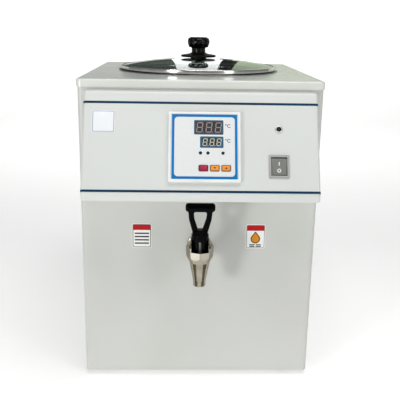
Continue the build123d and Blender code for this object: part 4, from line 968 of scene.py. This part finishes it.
@dataclass
class Controller(SubAssembly):
    """Temperature controller on the slanted face, laid out on its 96 mm front."""

    size: float = 96.0
    height: float = 6.0
    face: float = 88.4
    face_top: float = 5.0
    floor: float = 3.5
    windows: tuple[tuple[float, float, float, float], ...] = ((5.4, 26.2, 38.6, 19.5),
                                                              (9.4, 6.0, 30.6, 15.2))
    keys: tuple[tuple[str, float], ...] = (("key_red", -1.6), ("key_down", 13.4), ("key_up", 28.4))
    key_y: float = -29.2
    key_width: float = 12.3
    key_height: float = 8.3
    key_proud: float = 1.2
    lamps: tuple[float, ...] = (-5.5, 4.4, 24.2)
    lamp_y: float = -8.8
    room: float = 87.0          # the frame's opening under its ledge
    sign_x: float = 30.6
    sign_size: float = 6.6
    figures: tuple[tuple[float, ...], ...] = ((14.0, 8.2, 12.3, 1.15),     # height, width, pitch
                                              (10.4, 6.2, 9.2, 1.15))      # and stroke of a digit
    slant: float = 0.12         # how far a digit leans for each millimetre of height

    def build(self) -> None:
        """Makes the front with its windows, digits, lamps and keys, and dresses the rest."""
        dress(controller_housing=BLACK_PLASTIC, controller_faceplate=FACE_FILM,
              display_windows=WINDOW_TINT, circuit_board=BOARD, controller_terminals=PALE_PLASTIC,
              controller_clamps=BLACK_PLASTIC)
        self.bezel()
        self.border()
        for index, window in enumerate(self.windows):
            self.display(index, *window)
        self.diodes()
        for name, x in self.keys:
            self.key(name, x)

    def bezel(self) -> None:
        """Makes the moulded frame: rolled outer edge, step down to the face and its ledge."""
        frame = plate("controller_front_frame", self.size, self.size, 2.0, 0.0, self.height)
        eased(frame, lambda middle, along: middle.z > self.height - 0.01, 1.5, 5)
        step = plate("step", self.face + 0.4, self.face + 0.4, 1.2, self.floor, self.height + 1)
        combined(frame, Join.CUT, step, plate("room", self.room, self.room, 0.5, -1.0, self.height))
        inside = self.face / 2 + 1.0
        eased(frame, lambda middle, along: middle.z > self.height - 0.01
              and abs(middle.x) < inside and abs(middle.y) < inside, 0.35, 2)
        self.fit(frame, IVORY_PLASTIC, "controller_plastic", ("controller_bezel",))

    def border(self) -> None:
        """Prints the blue band round the face, square outside and rounded inside."""
        band = ring_slab("face_blue_band", plate_outline(self.face - 1.6, self.face - 0.4, 0.8),
                         plate_outline(80.0, 80.8, 4.4), self.face_top, self.face_top + 0.06)
        self.fit(band, BLUE_FILM, "faceplate_blue")

    def display(self, index: int, x: float, y: float, width: float, height: float) -> None:
        """Makes one display: its dark rim, its three unlit digits and the sign beside it.

        Args:
            index: 0 for the upper display, 1 for the lower one.
            x: place of its middle from the middle of the face.
            y: height of its middle there.
            width: width of the window.
            height: height of the window.
        """
        name = ("upper", "lower")[index]
        low = self.face_top - 0.1
        rim = ring_slab(f"window_{name}_rim", plate_outline(width + 0.4, height + 0.4, 1.5, x, y),
                        plate_outline(width - 4.2, height - 3.8, 0.6, x, y), low, low + 0.16)
        self.fit(rim, (RIM_INK, RIM_INK_BLUE)[index], "window_tint")
        tall, wide, pitch, stroke = self.figures[index]
        digit = self.digit(f"digits_{name}", wide, tall, stroke, low)
        shown = repeated(digit, [shift(x + 0.4 + pitch * place, y) for place in (-1, 0, 1)])
        self.fit(shown, (DIGIT_ROSE, DIGIT_PALE)[index], "window_tint")
        self.degrees_sign(name, y + 1.8)

    def digit(self, name: str, wide: float, tall: float, stroke: float, low: float) -> Obj:
        """Makes one slanting figure eight from seven bars with pointed ends, and its point.

        Args:
            name: the piece's name.
            wide: width of the figure.
            tall: height of the figure.
            stroke: width of a bar.
            low: height of the pane.

        Returns:
            The figure as one object.
        """
        def bar(length: float) -> Obj:
            """Makes a flat bar with pointed ends."""
            a, b = length / 2, stroke / 2
            points = [(-a, 0.0), (b - a, -b), (a - b, -b), (a, 0.0), (a - b, b), (b - a, b)]
            return slab(name, points, low, low + 0.04)
        x, y = (wide - stroke) / 2, (tall - stroke) / 2
        flat = repeated(bar(wide - stroke - 0.3), [shift(0.0, way * y) for way in (-1, 0, 1)])
        upright = moved(bar(y - 0.3), Matrix.Rotation(pi / 2, 4, "Z"))
        sides = repeated(upright, [shift(way * x, up * y / 2) for way in (-1, 1) for up in (-1, 1)])
        dot = moved(slab(name, disc(stroke * 0.55, 12), low, low + 0.04), shift(wide / 2 + 1.2, -y))
        figure = gathered(name, [flat, sides, dot])
        slant = Matrix.Identity(4)
        slant[0][1] = self.slant
        return moved(figure, slant)

    def degrees_sign(self, name: str, y: float) -> None:
        """Prints the sign for degrees Celsius beside a window.

        Args:
            name: which window.
            y: height of the sign's middle.
        """
        bpy.ops.object.select_all(action="DESELECT")
        bpy.ops.object.text_add()
        sign = bpy.context.object
        sign.name = f"sign_{name}"
        sign.data.body = "°C"
        sign.data.size = self.sign_size
        sign.data.extrude = 0.02
        sign.data.offset = 0.12
        sign.data.align_x = "CENTER"
        sign.data.align_y = "CENTER"
        only(sign)
        bpy.ops.object.convert(target="MESH")
        moved(bpy.context.object, shift(self.sign_x, y, self.face_top + 0.02))
        self.fit(bpy.context.object, SIGN_INK, "faceplate_blue")

    def diodes(self) -> None:
        """Makes the three domed lamps that stand in the face."""
        top = self.face_top
        lamp = turned("pilot_lamp_domes", rounded([
            (0.0, -3.0, 0.0), (1.8, -3.0, 0.0), (1.8, top + 0.02, 0.0), (2.2, top + 0.02, 0.0),
            (2.2, top + 0.3, 0.2), (1.5, top + 0.9, 0.6), (0.0, top + 1.0, 0.0)]), 24)
        lamps = repeated(lamp, [shift(x, self.lamp_y) for x in self.lamps])
        self.fit(lamps, LED_RESIN, "led_resin", ("pilot_leds",))

    def key(self, name: str, x: float) -> None:
        """Makes one key: crowned cap on its flange, a rim round its top and its triangle.

        Args:
            name: the key's node, which is also its body.
            x: place of its middle from the middle of the face.
        """
        middle = self.place
        self.place = middle @ shift(x, self.key_y)
        top = self.face_top + self.key_proud
        red = name == "key_red"
        slot = "key_crimson" if red else "key_orange"
        rim = plate(f"{name}_rim", self.key_width, self.key_height, 1.6, 3.0, top - 0.25)
        rim = eased(rim, lambda spot, along: spot.z > top - 0.26, 0.45, 3)
        foot = plate("foot", self.key_width + 1.4, self.key_height + 1.4, 1.5, 2.2, 3.2)
        self.fit(combined(rim, Join.UNITE, foot), RED_RIM if red else KEY_RIM, slot, (name,), name)
        cap = plate(f"{name}_cap", self.key_width - 1.9, self.key_height - 1.9, 1.3, 3.4, top)
        self.fit(eased(cap, lambda spot, along: spot.z > top - 0.01, 0.4, 3),
                 RED_KEY if red else ORANGE_KEY, slot, (), name)
        if not red:
            way = -1.0 if name == "key_down" else 1.0
            points = [(-1.9, -1.3 * way), (1.9, -1.3 * way), (0.0, 1.5 * way)]
            mark = slab(f"{name}_mark", points if way > 0 else points[::-1], top - 0.02, top + 0.04)
            self.fit(mark, MARK_INK, "key_orange", (), name)
        self.place = middle


@dataclass
class PilotLamp(SubAssembly):
    """Lamp on the slanted face: a bright ring, a black holder and a small clear dome."""

    ring: float = 5.1
    barrel: float = 4.0
    lens: float = 3.2

    def build(self) -> None:
        """Makes the ring, the holder and the dome."""
        ring = turned("lamp_ring", rounded([
            (self.lens + 0.05, -3.0, 0.0), (self.lens + 0.05, 1.6, 0.35), (self.ring, 1.6, 0.9),
            (self.ring, 0.0, 0.0), (self.barrel, 0.0, 0.0), (self.barrel, -14.0, 0.5),
            (0.0, -14.0, 0.0), (0.0, -3.0, 0.0)]))
        self.fit(ring, SATIN_NICKEL, "polished_steel", ("indicator_bezel",), angle=50.0)
        holder = turned("lamp_holder", rounded([
            (0.0, -3.0, 0.0), (self.lens, -3.0, 0.0), (self.lens, 1.9, 0.5), (2.2, 1.5, 0.3),
            (1.6, 0.2, 0.2), (0.0, 0.2, 0.0)]), 48)
        self.fit(holder, KNOB_PLASTIC, "lens_resin", ("indicator_lens",))
        dome = turned("lamp_dome", rounded([(0.0, 0.2, 0.0), (1.5, 0.2, 0.0), (1.5, 2.1, 1.2),
                                            (0.0, 2.1, 0.0)]), 32)
        self.fit(dome, LAMP_LENS, "lens_resin")
        dress(indicator_nut=ZINC)


@dataclass
class PowerSwitch(SubAssembly):
    """Rocker switch: raised frame, dark well and a curved rocker with its two signs."""

    width: float = 27.0
    height: float = 31.2
    rim: float = 2.0
    well_width: float = 21.4
    well_height: float = 25.2
    well_depth: float = 22.0
    rocker_width: float = 20.6
    rocker_radius: float = 12.2
    pivot: float = -4.0
    dip: float = 0.4            # height of the face's middle, where its two halves meet

    def build(self) -> None:
        """Makes the frame, the well and the rocker."""
        frame = plate("switch_frame", self.width, self.height, 1.0, 0.0, self.rim)
        eased(frame, lambda middle, along: middle.z > self.rim - 0.01, 0.8, 4)
        opening = plate("opening", self.well_width, self.well_height, 0.5, -1.0, self.rim + 1)
        combined(frame, Join.CUT, opening)
        self.fit(bevelled(frame, 0.2, 2, 60.0), SWITCH_GREY, "switch_plastic", ("rocker_housing",))
        well = plate("switch_well", self.well_width + 2, self.well_height + 2, 0.6, -self.well_depth, 0.0)
        combined(well, Join.CUT, plate("room", self.well_width, self.well_height, 0.5, -13.0, 1.0))
        self.fit(well, BLACK_PLASTIC, "switch_plastic")
        self.rocker()

    def rocker(self) -> None:
        """Makes the rocker from its side outline, with the bar and the ring on its face."""
        back, front = ([(self.rocker_radius * cos(radians(a)),
                         self.rocker_radius * sin(radians(a)) + self.pivot) for a in turn]
                       for turn in ((159.8, 168.0, 177.0, 186.0, 194.2),
                                    (-14.2, -4.0, 6.0, 16.0, 26.0)))
        side = back + [(-3.5, -7.5), (3.5, -7.5)] + front + [(10.0, 1.9), (8.6, 2.77),
                                                             (0.0, self.dip)]
        body = slab("switch_rocker", side, -self.rocker_width / 2, self.rocker_width / 2)
        bevelled(moved(body, SIDEWAYS), 0.5, 3, 32.0)
        self.fit(body, ROCKER_GREY, "rocker_plastic", ("rocker",), "rocker")
        bar = plate("switch_sign_on", 1.1, 4.7, 0.3, 0.0, 0.06)
        ring = ring_slab("switch_sign_off", disc(2.6), disc(1.5), 0.0, 0.06)
        for sign, tilt, y in ((bar, atan2(3.13 - self.dip, 9.9), 3.9), (ring, 0.0157, -5.3)):
            moved(sign, shift(z=self.dip) @ Matrix.Rotation(tilt, 4, "X") @ shift(y=y))
            self.fit(sign, WHITE_FILM, "rocker_plastic", (), "rocker")


@dataclass
class Lid(SubAssembly):
    """Glass dome with its steel rim and the fluted knob. Its frame stands on the pot's axis."""

    edge_radius: float = 124.7
    edge_z: float = 452.1
    rise: float = 12.2
    glass: float = 4.0
    rim_radius: float = 125.6
    rim_low: float = 451.5
    lip_radius: float = 118.8
    sheet: float = 0.6
    fold: float = 4.0
    bead: float = 1.5
    skirt_z: float = 470.1
    skirt_radius: float = 28.4
    cap_z: float = 485.1
    cap_height: float = 16.4
    cap_radius: float = 18.2
    flutes: int = 12
    flute: float = 3.2          # radius of the cutter that makes a flute
    screw_bore: float = 2.5

    def build(self) -> None:
        """Makes the glass, the rim and the knob, and dresses what is under them."""
        self.dome()
        self.rim()
        self.knob()
        # The seal and the knob's washers are black to paint the shade under the rim and under the knob.
        dress(lid_seal=SHADE_DARK_SILICONE, knob_screw=ZINC, knob_washers=SHADE_DARK_SILICONE)

    def crown(self, radius: float, deep: float = 0.0) -> float:
        """Works out the height of the glass, which is part of a ball.

        Args:
            radius: distance from the lid's axis.
            deep: how far below the upper face.

        Returns:
            The height.
        """
        ball = (self.edge_radius ** 2 + self.rise ** 2) / (2 * self.rise)
        middle = self.edge_z + self.glass + self.rise - ball
        return middle + ((ball - deep) ** 2 - radius ** 2) ** 0.5

    def dome(self) -> None:
        """Makes the bent glass with its ground edge and the hole for the screw."""
        top = [(r, self.crown(r)) for r in range(8, 124, 5)]
        under = [(r, self.crown(r, self.glass)) for r in range(118, 7, -5)]
        edge = [(self.edge_radius - 0.8, self.edge_z + self.glass - 0.1),
                (self.edge_radius, self.edge_z + self.glass - 0.9),
                (self.edge_radius, self.edge_z + 0.8), (self.edge_radius - 0.8, self.edge_z)]
        hole = [(3.1, self.crown(0.0, self.glass)), (3.1, self.crown(0.0))]
        self.fit(turned("lid_bent_glass", hole + top + edge + under, 96), LID_GLASS,
                 "lid_glass_clear", ("lid_glass",), angle=60.0)

    def rim(self) -> None:
        """Makes the rolled band with its fold over the glass and its lip in the pot, and a black bead along
        the fold that paints the shade line there.
        """
        fold_z = self.edge_z + self.glass + 0.3
        inner = self.lip_radius - self.sheet
        profile = rounded([(inner, self.rim_low - 4.6, 0.0), (self.lip_radius, self.rim_low - 4.6, 0.0),
                           (self.lip_radius, self.rim_low, 0.3), (self.rim_radius, self.rim_low, 0.9),
                           (self.rim_radius, fold_z + 0.75, 1.0),
                           (self.rim_radius - self.fold, fold_z + 1.35, 0.25),
                           (self.rim_radius - self.fold, fold_z + 0.775, 0.0),
                           (self.rim_radius - self.sheet, fold_z, 0.3),
                           (self.rim_radius - self.sheet, self.edge_z, 0.3), (inner, self.edge_z, 0.3)])
        self.fit(turned("lid_rolled_band", profile, 144), RIM_STEEL, "polished_steel", ("lid_rim",),
                 angle=50.0)
        # A thin black bead on the glass along the fold. It is painted shade: a real lid shows only a dark
        # shade line here.
        out = self.rim_radius - self.fold + 0.1
        bead = [(out - self.bead, self.crown(out - self.bead) - 0.1), (out, self.crown(out) - 0.1),
                (out, self.crown(out) + 0.5), (out - self.bead * 0.5, self.crown(out) + 0.7)]
        self.fit(turned("lid_shade_line_bead", bead, 144), SHADE_DARK_SILICONE, "silicone", angle=60.0)

    def knob(self) -> None:
        """Makes the flared skirt, and the fluted cap on its stem."""
        z = self.skirt_z
        skirt = turned("knob_flared_skirt", rounded([
            (2.7, z, 0.0), (self.skirt_radius - 0.6, z, 0.4), (self.skirt_radius, z + 1.2, 0.6),
            (self.skirt_radius - 0.2, z + 3.0, 1.0), (15.0, z + 5.2, 8.0), (11.3, z + 7.0, 0.8),
            (2.7, z + 7.0, 0.0)]), 96)
        self.fit(skirt, SKIRT_PLASTIC, "black_plastic", ("knob_skirt",), angle=50.0)
        z, height, radius = self.cap_z, self.cap_height, self.cap_radius
        cap = turned("knob_fluted_cap", rounded([
            (0.0, z - 8.0, 0.0), (11.2, z - 8.0, 0.3), (11.2, z, 1.6), (radius - 2.8, z + 0.2, 1.0),
            (radius, z + height * 0.5, 9.0), (radius - 1.2, z + height * 0.84, 4.5),
            (radius - 5.4, z + height, 3.0), (0.0, z + height, 0.0)]), 96)
        groove = moved(slab("groove", disc(self.flute, 24), z - 2.0, z + height + 2.0), shift(radius + 2.0))
        grooves = repeated(groove, [Matrix.Rotation(2 * pi * n / self.flutes, 4, "Z")
                                    for n in range(self.flutes)])
        combined(cap, Join.CUT, slab("bore", disc(self.screw_bore, 24), z - 9.0, z + 5.0), grooves)
        self.fit(bevelled(cap, 0.3, 2, 28.0), KNOB_PLASTIC, "black_plastic", ("lid_knob",), angle=40.0)


@dataclass
class Tap(SubAssembly):
    """Self-closing tap. Its frame stands on the spout's axis at the body's rim."""

    head: float = 18.6
    bonnet: float = 19.1
    bonnet_top: float = 25.0
    ledge: float = 3.5
    hub: float = 11.85
    pin: float = 9.8
    slot: float = 4.2
    bar: float = 6.1
    bar_z: float = 62.9
    width: float = 40.2
    loop: float = 9.0
    lift: float = 4.0
    throw: float = radians(55.0)
    turns: float = 4.0
    wire: float = 0.5
    skin: float = 0.6           # cell of the skin that blends the handle's corners
    pin_bore: float = 1.68
    stem_bore: float = 3.58
    chamber: float = 12.4
    spout_bore: float = 6.0
    way_bore: float = 5.0       # of the shank, through the casing
    way_z: float = -10.0

    def build(self) -> None:
        """Makes the handle, the bonnet, the body and the spring, and dresses the rest."""
        self.handle()
        self.cap()
        self.spout()
        self.spring()
        dress(tap_stem=STEM_STEEL, seat_cup=WHITE_SILICONE, handle_pin=TAP_STEEL,
              panel_flange=TAP_STEEL, panel_gasket=WHITE_SILICONE, shank_nut=BRASS)

    def foot(self) -> list[Point]:
        """Lays out the handle's foot from the side: its front turns on the bonnet as a cam."""
        drop = self.pin - self.ledge - 0.3
        rise = self.lift / self.throw
        curve = []
        for step in range(12):
            angle = self.throw * step / 11
            reach = drop + rise * angle
            curve.append((-reach * sin(angle) - rise * cos(angle),
                          -reach * cos(angle) + rise * sin(angle)))
        top = 27.0 - self.pin
        return curve + [(-self.hub - 1, 2.0), (-self.hub - 1, top + 1), (self.hub + 1, top + 1),
                        (self.hub + 1, 3.0 - drop), (self.hub - 3, -drop)]

    def handle(self) -> None:
        """Makes the handle: bar, two arms, neck and hub melted together, then slotted and drilled."""
        right = [(10.4, 24.0, 0.0), (10.4, 29.0, 3.0), (15.3, 46.5, 14.0), (17.0, self.bar_z, 0.0)]
        left = [(-x, z, radius) for x, z, radius in reversed(right)]
        window = rounded([(-8.9, 57.0, 2.4), (8.9, 57.0, 2.4), (7.9, 47.5, 9.0), (2.9, 32.2, 2.8),
                          (-2.9, 32.2, 2.8), (-7.9, 47.5, 9.0)])
        arms = ring_slab("arms", rounded(right + left), window[::-1], -self.loop / 2, self.loop / 2)
        bevelled(arms, 2.4, 4, 40.0)
        bar = turned("bar", rounded([(0.0, -self.width / 2, 0.0), (self.bar, -self.width / 2, 3.9),
                                     (self.bar, self.width / 2, 3.9), (0.0, self.width / 2, 0.0)]), 48)
        neck = slab("neck", rounded([(-10.4, 20.0, 0.0), (10.4, 20.0, 0.0), (10.4, 29.2, 0.5),
                                     (3.0, 32.2, 1.0), (-3.0, 32.2, 1.0), (-10.4, 29.2, 0.5)]), -6.4, 6.4)
        bevelled(neck, 0.8, 2, 50.0)
        hub = turned("hub", rounded([(0.0, -1.0, 0.0), (self.hub, -1.0, 0.0), (self.hub, 27.0, 2.0),
                                     (0.0, 27.0, 0.0)]), 64)
        cam = slab("cam", self.foot(), -self.hub - 1, self.hub + 1)
        combined(hub, Join.KEEP, moved(cam, shift(z=self.pin) @ SIDEWAYS))
        lever = gathered("tap_lever", [moved(arms, STAND), moved(bar, shift(z=self.bar_z) @ LIE),
                                       moved(neck, STAND), hub])
        modified(lever, "REMESH", mode="VOXEL", voxel_size=self.skin)
        modified(lever, "SMOOTH", factor=0.5, iterations=4)
        slot = plate("slot", self.slot, 60.0, 0.0, -5.0, self.pin + 7.4)
        drill = moved(slab("drill", disc(self.pin_bore, 24), -30.0, 30.0), shift(z=self.pin) @ LIE)
        combined(lever, Join.CUT, slot, drill)
        self.fit(lever, HANDLE_PLASTIC, "black_plastic", ("tap_handle",), "handle", 40.0)

    def octagon(self, name: str, radius: float, low: float, high: float) -> Obj:
        """Makes an upright bar with eight sides, a corner to the front and its long edges eased."""
        bar = slab(name, disc(radius, 8), low, high)
        return eased(bar, lambda middle, along: abs(along.z) > 0.9, 0.7, 4)

    def cap(self) -> None:
        """Makes the bonnet: a flared octagon with a slot for the handle and a plug below."""
        top, wide = self.bonnet_top, self.bonnet + 0.1
        flare = turned("flare", [(0.0, -1.0), (wide, -1.0), (wide, 8.0), (9.4, top), (0.0, top)], 96)
        cap = combined(self.octagon("tap_flared_bonnet", self.bonnet, 0.0, top + 1), Join.KEEP, flare)
        combined(cap, Join.CUT, plate("slot", 2 * self.hub + 0.6, 60.0, 0.0, self.ledge, top + 1))
        plug = turned("plug", [(9.9, -5.0), (12.3, -5.0), (12.3, 0.5), (9.9, 0.5)], 64)
        combined(cap, Join.UNITE, plug)
        combined(cap, Join.CUT, slab("bore", disc(self.stem_bore), -6.0, 30.0))
        self.fit(cap, TAP_STEEL, "polished_steel", ("tap_bonnet",), angle=16.0)

    def spring(self) -> None:
        """Coils the spring under the bonnet."""
        low, high = (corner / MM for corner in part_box("tap_spring"))
        length, radius = high.z - low.z, (high.x - low.x) / 2 - self.wire
        coil = drawn("tap_coil_spring", [(radius + x, 0.0, z + self.wire - length)
                                         for x, z in disc(self.wire, 12)])
        steps = round(28 * self.turns)
        modified(coil, "SCREW", angle=2 * pi * self.turns, screw_offset=length - 2 * self.wire,
                 steps=steps, render_steps=steps)
        with editing(coil, Part.EDGES):
            bpy.ops.mesh.fill_holes(sides=0)
            bpy.ops.mesh.select_all(action="SELECT")
            bpy.ops.mesh.normals_make_consistent(inside=False)
        self.fit(coil, TAP_STEEL, "stainless", ("tap_spring",), angle=50.0)
        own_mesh(coil)

    def spout(self) -> None:
        """Makes the body: octagonal head, tapered spout and the shank through the casing."""
        wide = self.head + 0.1
        flare = turned("flare", [(0.0, -13.5), (14.2, -13.5), (wide, -4.0), (wide, 0.0), (0.0, 0.0)], 96)
        head = combined(self.octagon("tap_cast_body", self.head, -15.0, 1.0), Join.KEEP, flare)
        spout = turned("spout", rounded([
            (0.0, -48.7, 0.0), (8.6, -48.7, 0.8), (8.9, -40.5, 4.0), (11.9, -24.5, 8.0),
            (14.15, -13.6, 0.0), (14.0, -12.5, 0.0), (0.0, -12.5, 0.0)], 7.5), 96)
        back = shift(z=self.way_z) @ Matrix.Rotation(-pi / 2, 4, "X")
        boss = turned("boss", [(0.0, 0.0), (9.6, 0.0), (9.6, 53.5), (8.3, 53.5), (8.3, 85.0), (0.0, 85.0)])
        combined(head, Join.UNITE, spout, moved(boss, back))
        combined(head, Join.CUT, slab("chamber", disc(self.chamber, 64), -15.5, 5.0),
                 slab("bore", disc(self.spout_bore, 48), -60.0, self.way_z),
                 moved(slab("way", disc(self.way_bore, 48), 0.0, 90.0), back))
        self.fit(head, TAP_STEEL, "polished_steel", ("tap_body",), angle=16.0)


@dataclass
class Works(SubAssembly):
    """What is inside the casing, at its back and under it, which keeps its CAD shape."""

    def build(self) -> None:
        """Gives each piece the finish of its real material."""
        dress(pot=POT_STEEL, strainer=STRAINER_STEEL, pot_heater=HEATER_MAT, insulation_jacket=FELT,
              temperature_probe=TAP_STEEL, thermal_cutout=BLACK_PLASTIC, outlet_pipe=TAP_STEEL,
              outlet_coupling=BRASS, outlet_heater=CAST_ALUMINIUM, mains_inlet=BLACK_PLASTIC,
              contact_blades=BRASS, fuse_drawer=BLACK_PLASTIC, fuse=FUSE_GLASS,
              relay_heat_sink=HEAT_SINK, solid_state_relay=BLACK_PLASTIC,
              terminal_block=PALE_PLASTIC, internal_leads=LEAD_SLEEVE)


# --- Studio -----------------------------------------------------------------------------------
@dataclass(frozen=True)
class Softbox:
    """A rectangular studio light that looks at the object."""

    name: str
    place: Spot
    size: tuple[float, float]
    watts: float
    colour: str = "#FFFFFF"
    aim: Spot = (0.0, 0.0, 0.25)

    def build(self) -> None:
        """Hangs the light and turns it to what it lights."""
        bpy.ops.object.light_add(type="AREA", location=self.place)
        lamp = bpy.context.object
        lamp.name = self.name
        lamp.rotation_euler = (Vector(self.aim) - Vector(self.place)).to_track_quat("-Z", "Y").to_euler()
        lamp.data.shape = "RECTANGLE"
        lamp.data.size, lamp.data.size_y = self.size
        lamp.data.energy = self.watts
        lamp.data.color = linear(self.colour)[:3]


@dataclass(frozen=True)
class Flag:
    """An upright or lying card that only shows in glossy and clear surfaces."""

    name: str
    start: Spot
    end: Spot
    colour: str = "#050505"
    glow: float = 0.0

    def build(self) -> None:
        """Stands the card at its place, or lays it where both corners have one height."""
        bpy.ops.object.select_all(action="DESELECT")
        bpy.ops.mesh.primitive_plane_add(size=1.0, location=(0.0, 0.0, 0.0))
        card = bpy.context.object
        card.name = self.name
        start, end = Vector(self.start), Vector(self.end)
        span = end - start
        turn = Matrix() if span.y else Matrix.Rotation(pi / 2, 4, "X")
        size = Matrix.Diagonal((span.x, span.y or span.z, 1.0, 1.0))
        moved(card, Matrix.Translation((start + end) / 2) @ turn @ size)
        card.visible_camera = card.visible_diffuse = card.visible_shadow = False
        card.data.materials.append(StudioPaper(f"card_{self.name}", self.colour, 0.9, self.glow).material())


@dataclass(frozen=True)
class Studio:
    """Pale floor that curves up behind the object, soft light and the camera."""

    eye: Spot = (-0.0256695, -1.038729, 0.524692)
    dip: float = 0.269299       # radians that the camera looks down
    swing: float = 0.029931     # to the right
    roll: float = 0.016783
    lens: float = 58.005
    sky: float = 0.23
    arc_steps: int = 12         # strips in the arc of paper behind the object
    arc_step: float = 0.085     # run of each strip, in metres
    wall: float = 0.1           # height of the paper above the arc, in metres

    def build(self) -> None:
        """Sets the light, the floor and the camera."""
        world = bpy.data.worlds.new("studio")
        bpy.context.scene.world = world
        world.use_nodes = True
        world.node_tree.nodes.clear()
        sky = add_node(world.node_tree, "Background", (linear("#F4F6F8"), self.sky))
        add_node(world.node_tree, "OutputWorld", (sky,))
        for light in (Softbox("front_key", (-1.3, -1.73, 0.42), (0.36, 0.36), 14.0),
                      Softbox("overhead", (0.2, -0.75, 2.05), (1.3, 0.8), 20.0),
                      Softbox("right_strip", (1.5, -1.6, 0.9), (0.5, 1.6), 7.0),
                      Softbox("lid_glow", (0.044, 2.2, 1.07), (0.31, 0.86), 1.15, aim=(0.0, 0.0, 0.46)),
                      Softbox("backdrop_wash", (0.0, 1.2, 1.7), (3.6, 0.6), 30.0,
                              aim=(0.0, 3.6, 0.7))):
            light.build()
        for flag in (Flag("left_low", (-0.9, 0.6, 0.3), (-0.048, 0.6, 0.52), "#B4B7B2", 0.5),
                     Flag("left_high", (-0.9, 0.6, 0.52), (-0.06, 0.6, 1.1), "#2E322F", 1.2),
                     Flag("mid_low", (0.069, 0.6, 0.3), (0.104, 0.6, 0.52), "#6A6E68", 0.2),
                     Flag("mid_high", (0.081, 0.6, 0.52), (0.1245, 0.6, 1.1)),
                     Flag("right_low", (0.104, 0.6, 0.3), (0.5, 0.6, 0.52), "#B0B8A8", 0.5),
                     Flag("right_high", (0.1245, 0.6, 0.52), (0.9, 0.6, 1.1), "#8E9884", 0.9),
                     Flag("tap_dark_left", (-0.6, -0.46, 0.05), (-0.13, -0.2, 0.05), "#8C8874"),
                     Flag("tap_dark_right", (0.12, -0.46, 0.05), (0.6, -0.2, 0.05), "#8C8874"),
                     Flag("tap_glint_left", (-0.52, -0.75, 0.02), (-0.3, -0.48, 0.02), "#FFFFFF", 1.5),
                     Flag("tap_glint_right", (0.32, -0.75, 0.02), (0.5, -0.5, 0.02), "#FFFFFF", 0.5)):
            flag.build()
        self.floor()
        self.camera()
        view = bpy.context.scene.view_settings
        view.view_transform = "Standard"
        view.look = "None"

    def floor(self) -> None:
        """Lays the paper: a plane whose far edge is drawn up in an arc."""
        bpy.ops.object.select_all(action="DESELECT")
        bpy.ops.mesh.primitive_plane_add(size=1.0, location=(0.0, 0.0, 0.0))
        paper = bpy.context.object
        paper.name = "paper_sweep"
        moved(paper, Matrix.Translation((0.0, -0.4, 0.0)) @ Matrix.Diagonal((9.0, 6.0, 1.0, 1.0)))
        with editing(paper, Part.EDGES):
            pick_edges(paper, lambda middle, along: middle.y > 2.5)
            for step in range(self.arc_steps):
                rise = pi / 2 * (step + 0.5) / self.arc_steps
                bpy.ops.mesh.extrude_region_move(
                    TRANSFORM_OT_translate={"value": (0.0, self.arc_step * cos(rise),
                                                      self.arc_step * sin(rise))})
            bpy.ops.mesh.extrude_region_move(TRANSFORM_OT_translate={"value": (0.0, 0.0, self.wall)})
        with editing(paper, Part.FACES):
            bpy.ops.mesh.normals_make_consistent(inside=False)
        bpy.ops.object.shade_smooth()
        paper.data.materials.append(WHITE_PAPER.material())

    def camera(self) -> None:
        """Sets the camera at the photograph's place and angle."""
        ahead = Vector((sin(self.swing) * cos(self.dip), cos(self.swing) * cos(self.dip), -sin(self.dip)))
        level = Vector((cos(self.swing), -sin(self.swing), 0.0))
        up = level.cross(ahead)
        side = level * cos(self.roll) + up * sin(self.roll)
        top = up * cos(self.roll) - level * sin(self.roll)
        bpy.ops.object.camera_add()
        camera = bpy.context.object
        turn = Matrix((side, top, -ahead)).transposed().to_4x4()
        camera.matrix_world = Matrix.Translation(self.eye) @ turn
        camera.data.lens = self.lens
        camera.data.sensor_width = 36.0
        bpy.context.scene.camera = camera


@dataclass(frozen=True)
class Places:
    """Where the sub-assemblies stand, in millimetres from the floor's middle or on the panel."""

    slant: float = 0.452283     # radians that the panel leans back
    bezel_middle: Spot = (0.0, 0.12, -2.66)
    label_z: float = 225.5
    lamp: Point = (99.3, 25.8)
    switch: Point = (98.8, -25.2)
    lid_y: float = 37.05
    tap_y: float = -209.95
    tap_z: float = 222.5

    def panel(self) -> Matrix:
        """Returns the frame of the slanted panel, at the middle of the controller."""
        right, slope = Vector((1.0, 0.0, 0.0)), Vector((0.0, sin(self.slant), cos(self.slant)))
        low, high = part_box("controller_bezel")
        return frame_at((low + high) / 2, right, slope) @ shift(*self.bezel_middle)

    def casing(self) -> Matrix:
        """Returns the frame of the casing's front, at the labels' height."""
        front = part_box("casing_wrap")[0].y
        return frame_at(Vector((0.0, front, self.label_z * MM)), Vector((1.0, 0.0, 0.0)),
                        Vector((0.0, 0.0, 1.0)))


def main() -> None:
    """Builds the sub-assemblies in order."""
    logging.basicConfig(level=logging.INFO, format="%(name)s: %(message)s")
    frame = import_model()
    CAD.update(frame["nodes"])
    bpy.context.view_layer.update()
    Studio().build()
    at = Places()
    panel, upright = at.panel(), Matrix.Scale(MM, 4)
    for assembly in (Casing(at.casing()), Controller(panel), ControlBox(panel),
                     PilotLamp(panel @ shift(*at.lamp)), PowerSwitch(panel @ shift(*at.switch)),
                     Lid(upright @ shift(y=at.lid_y), "lid"),
                     Tap(upright @ shift(y=at.tap_y, z=at.tap_z)), Works(upright)):
        assembly.build()
        LOG.info("%s built", type(assembly).__name__)


if __name__ == "__main__":
    main()
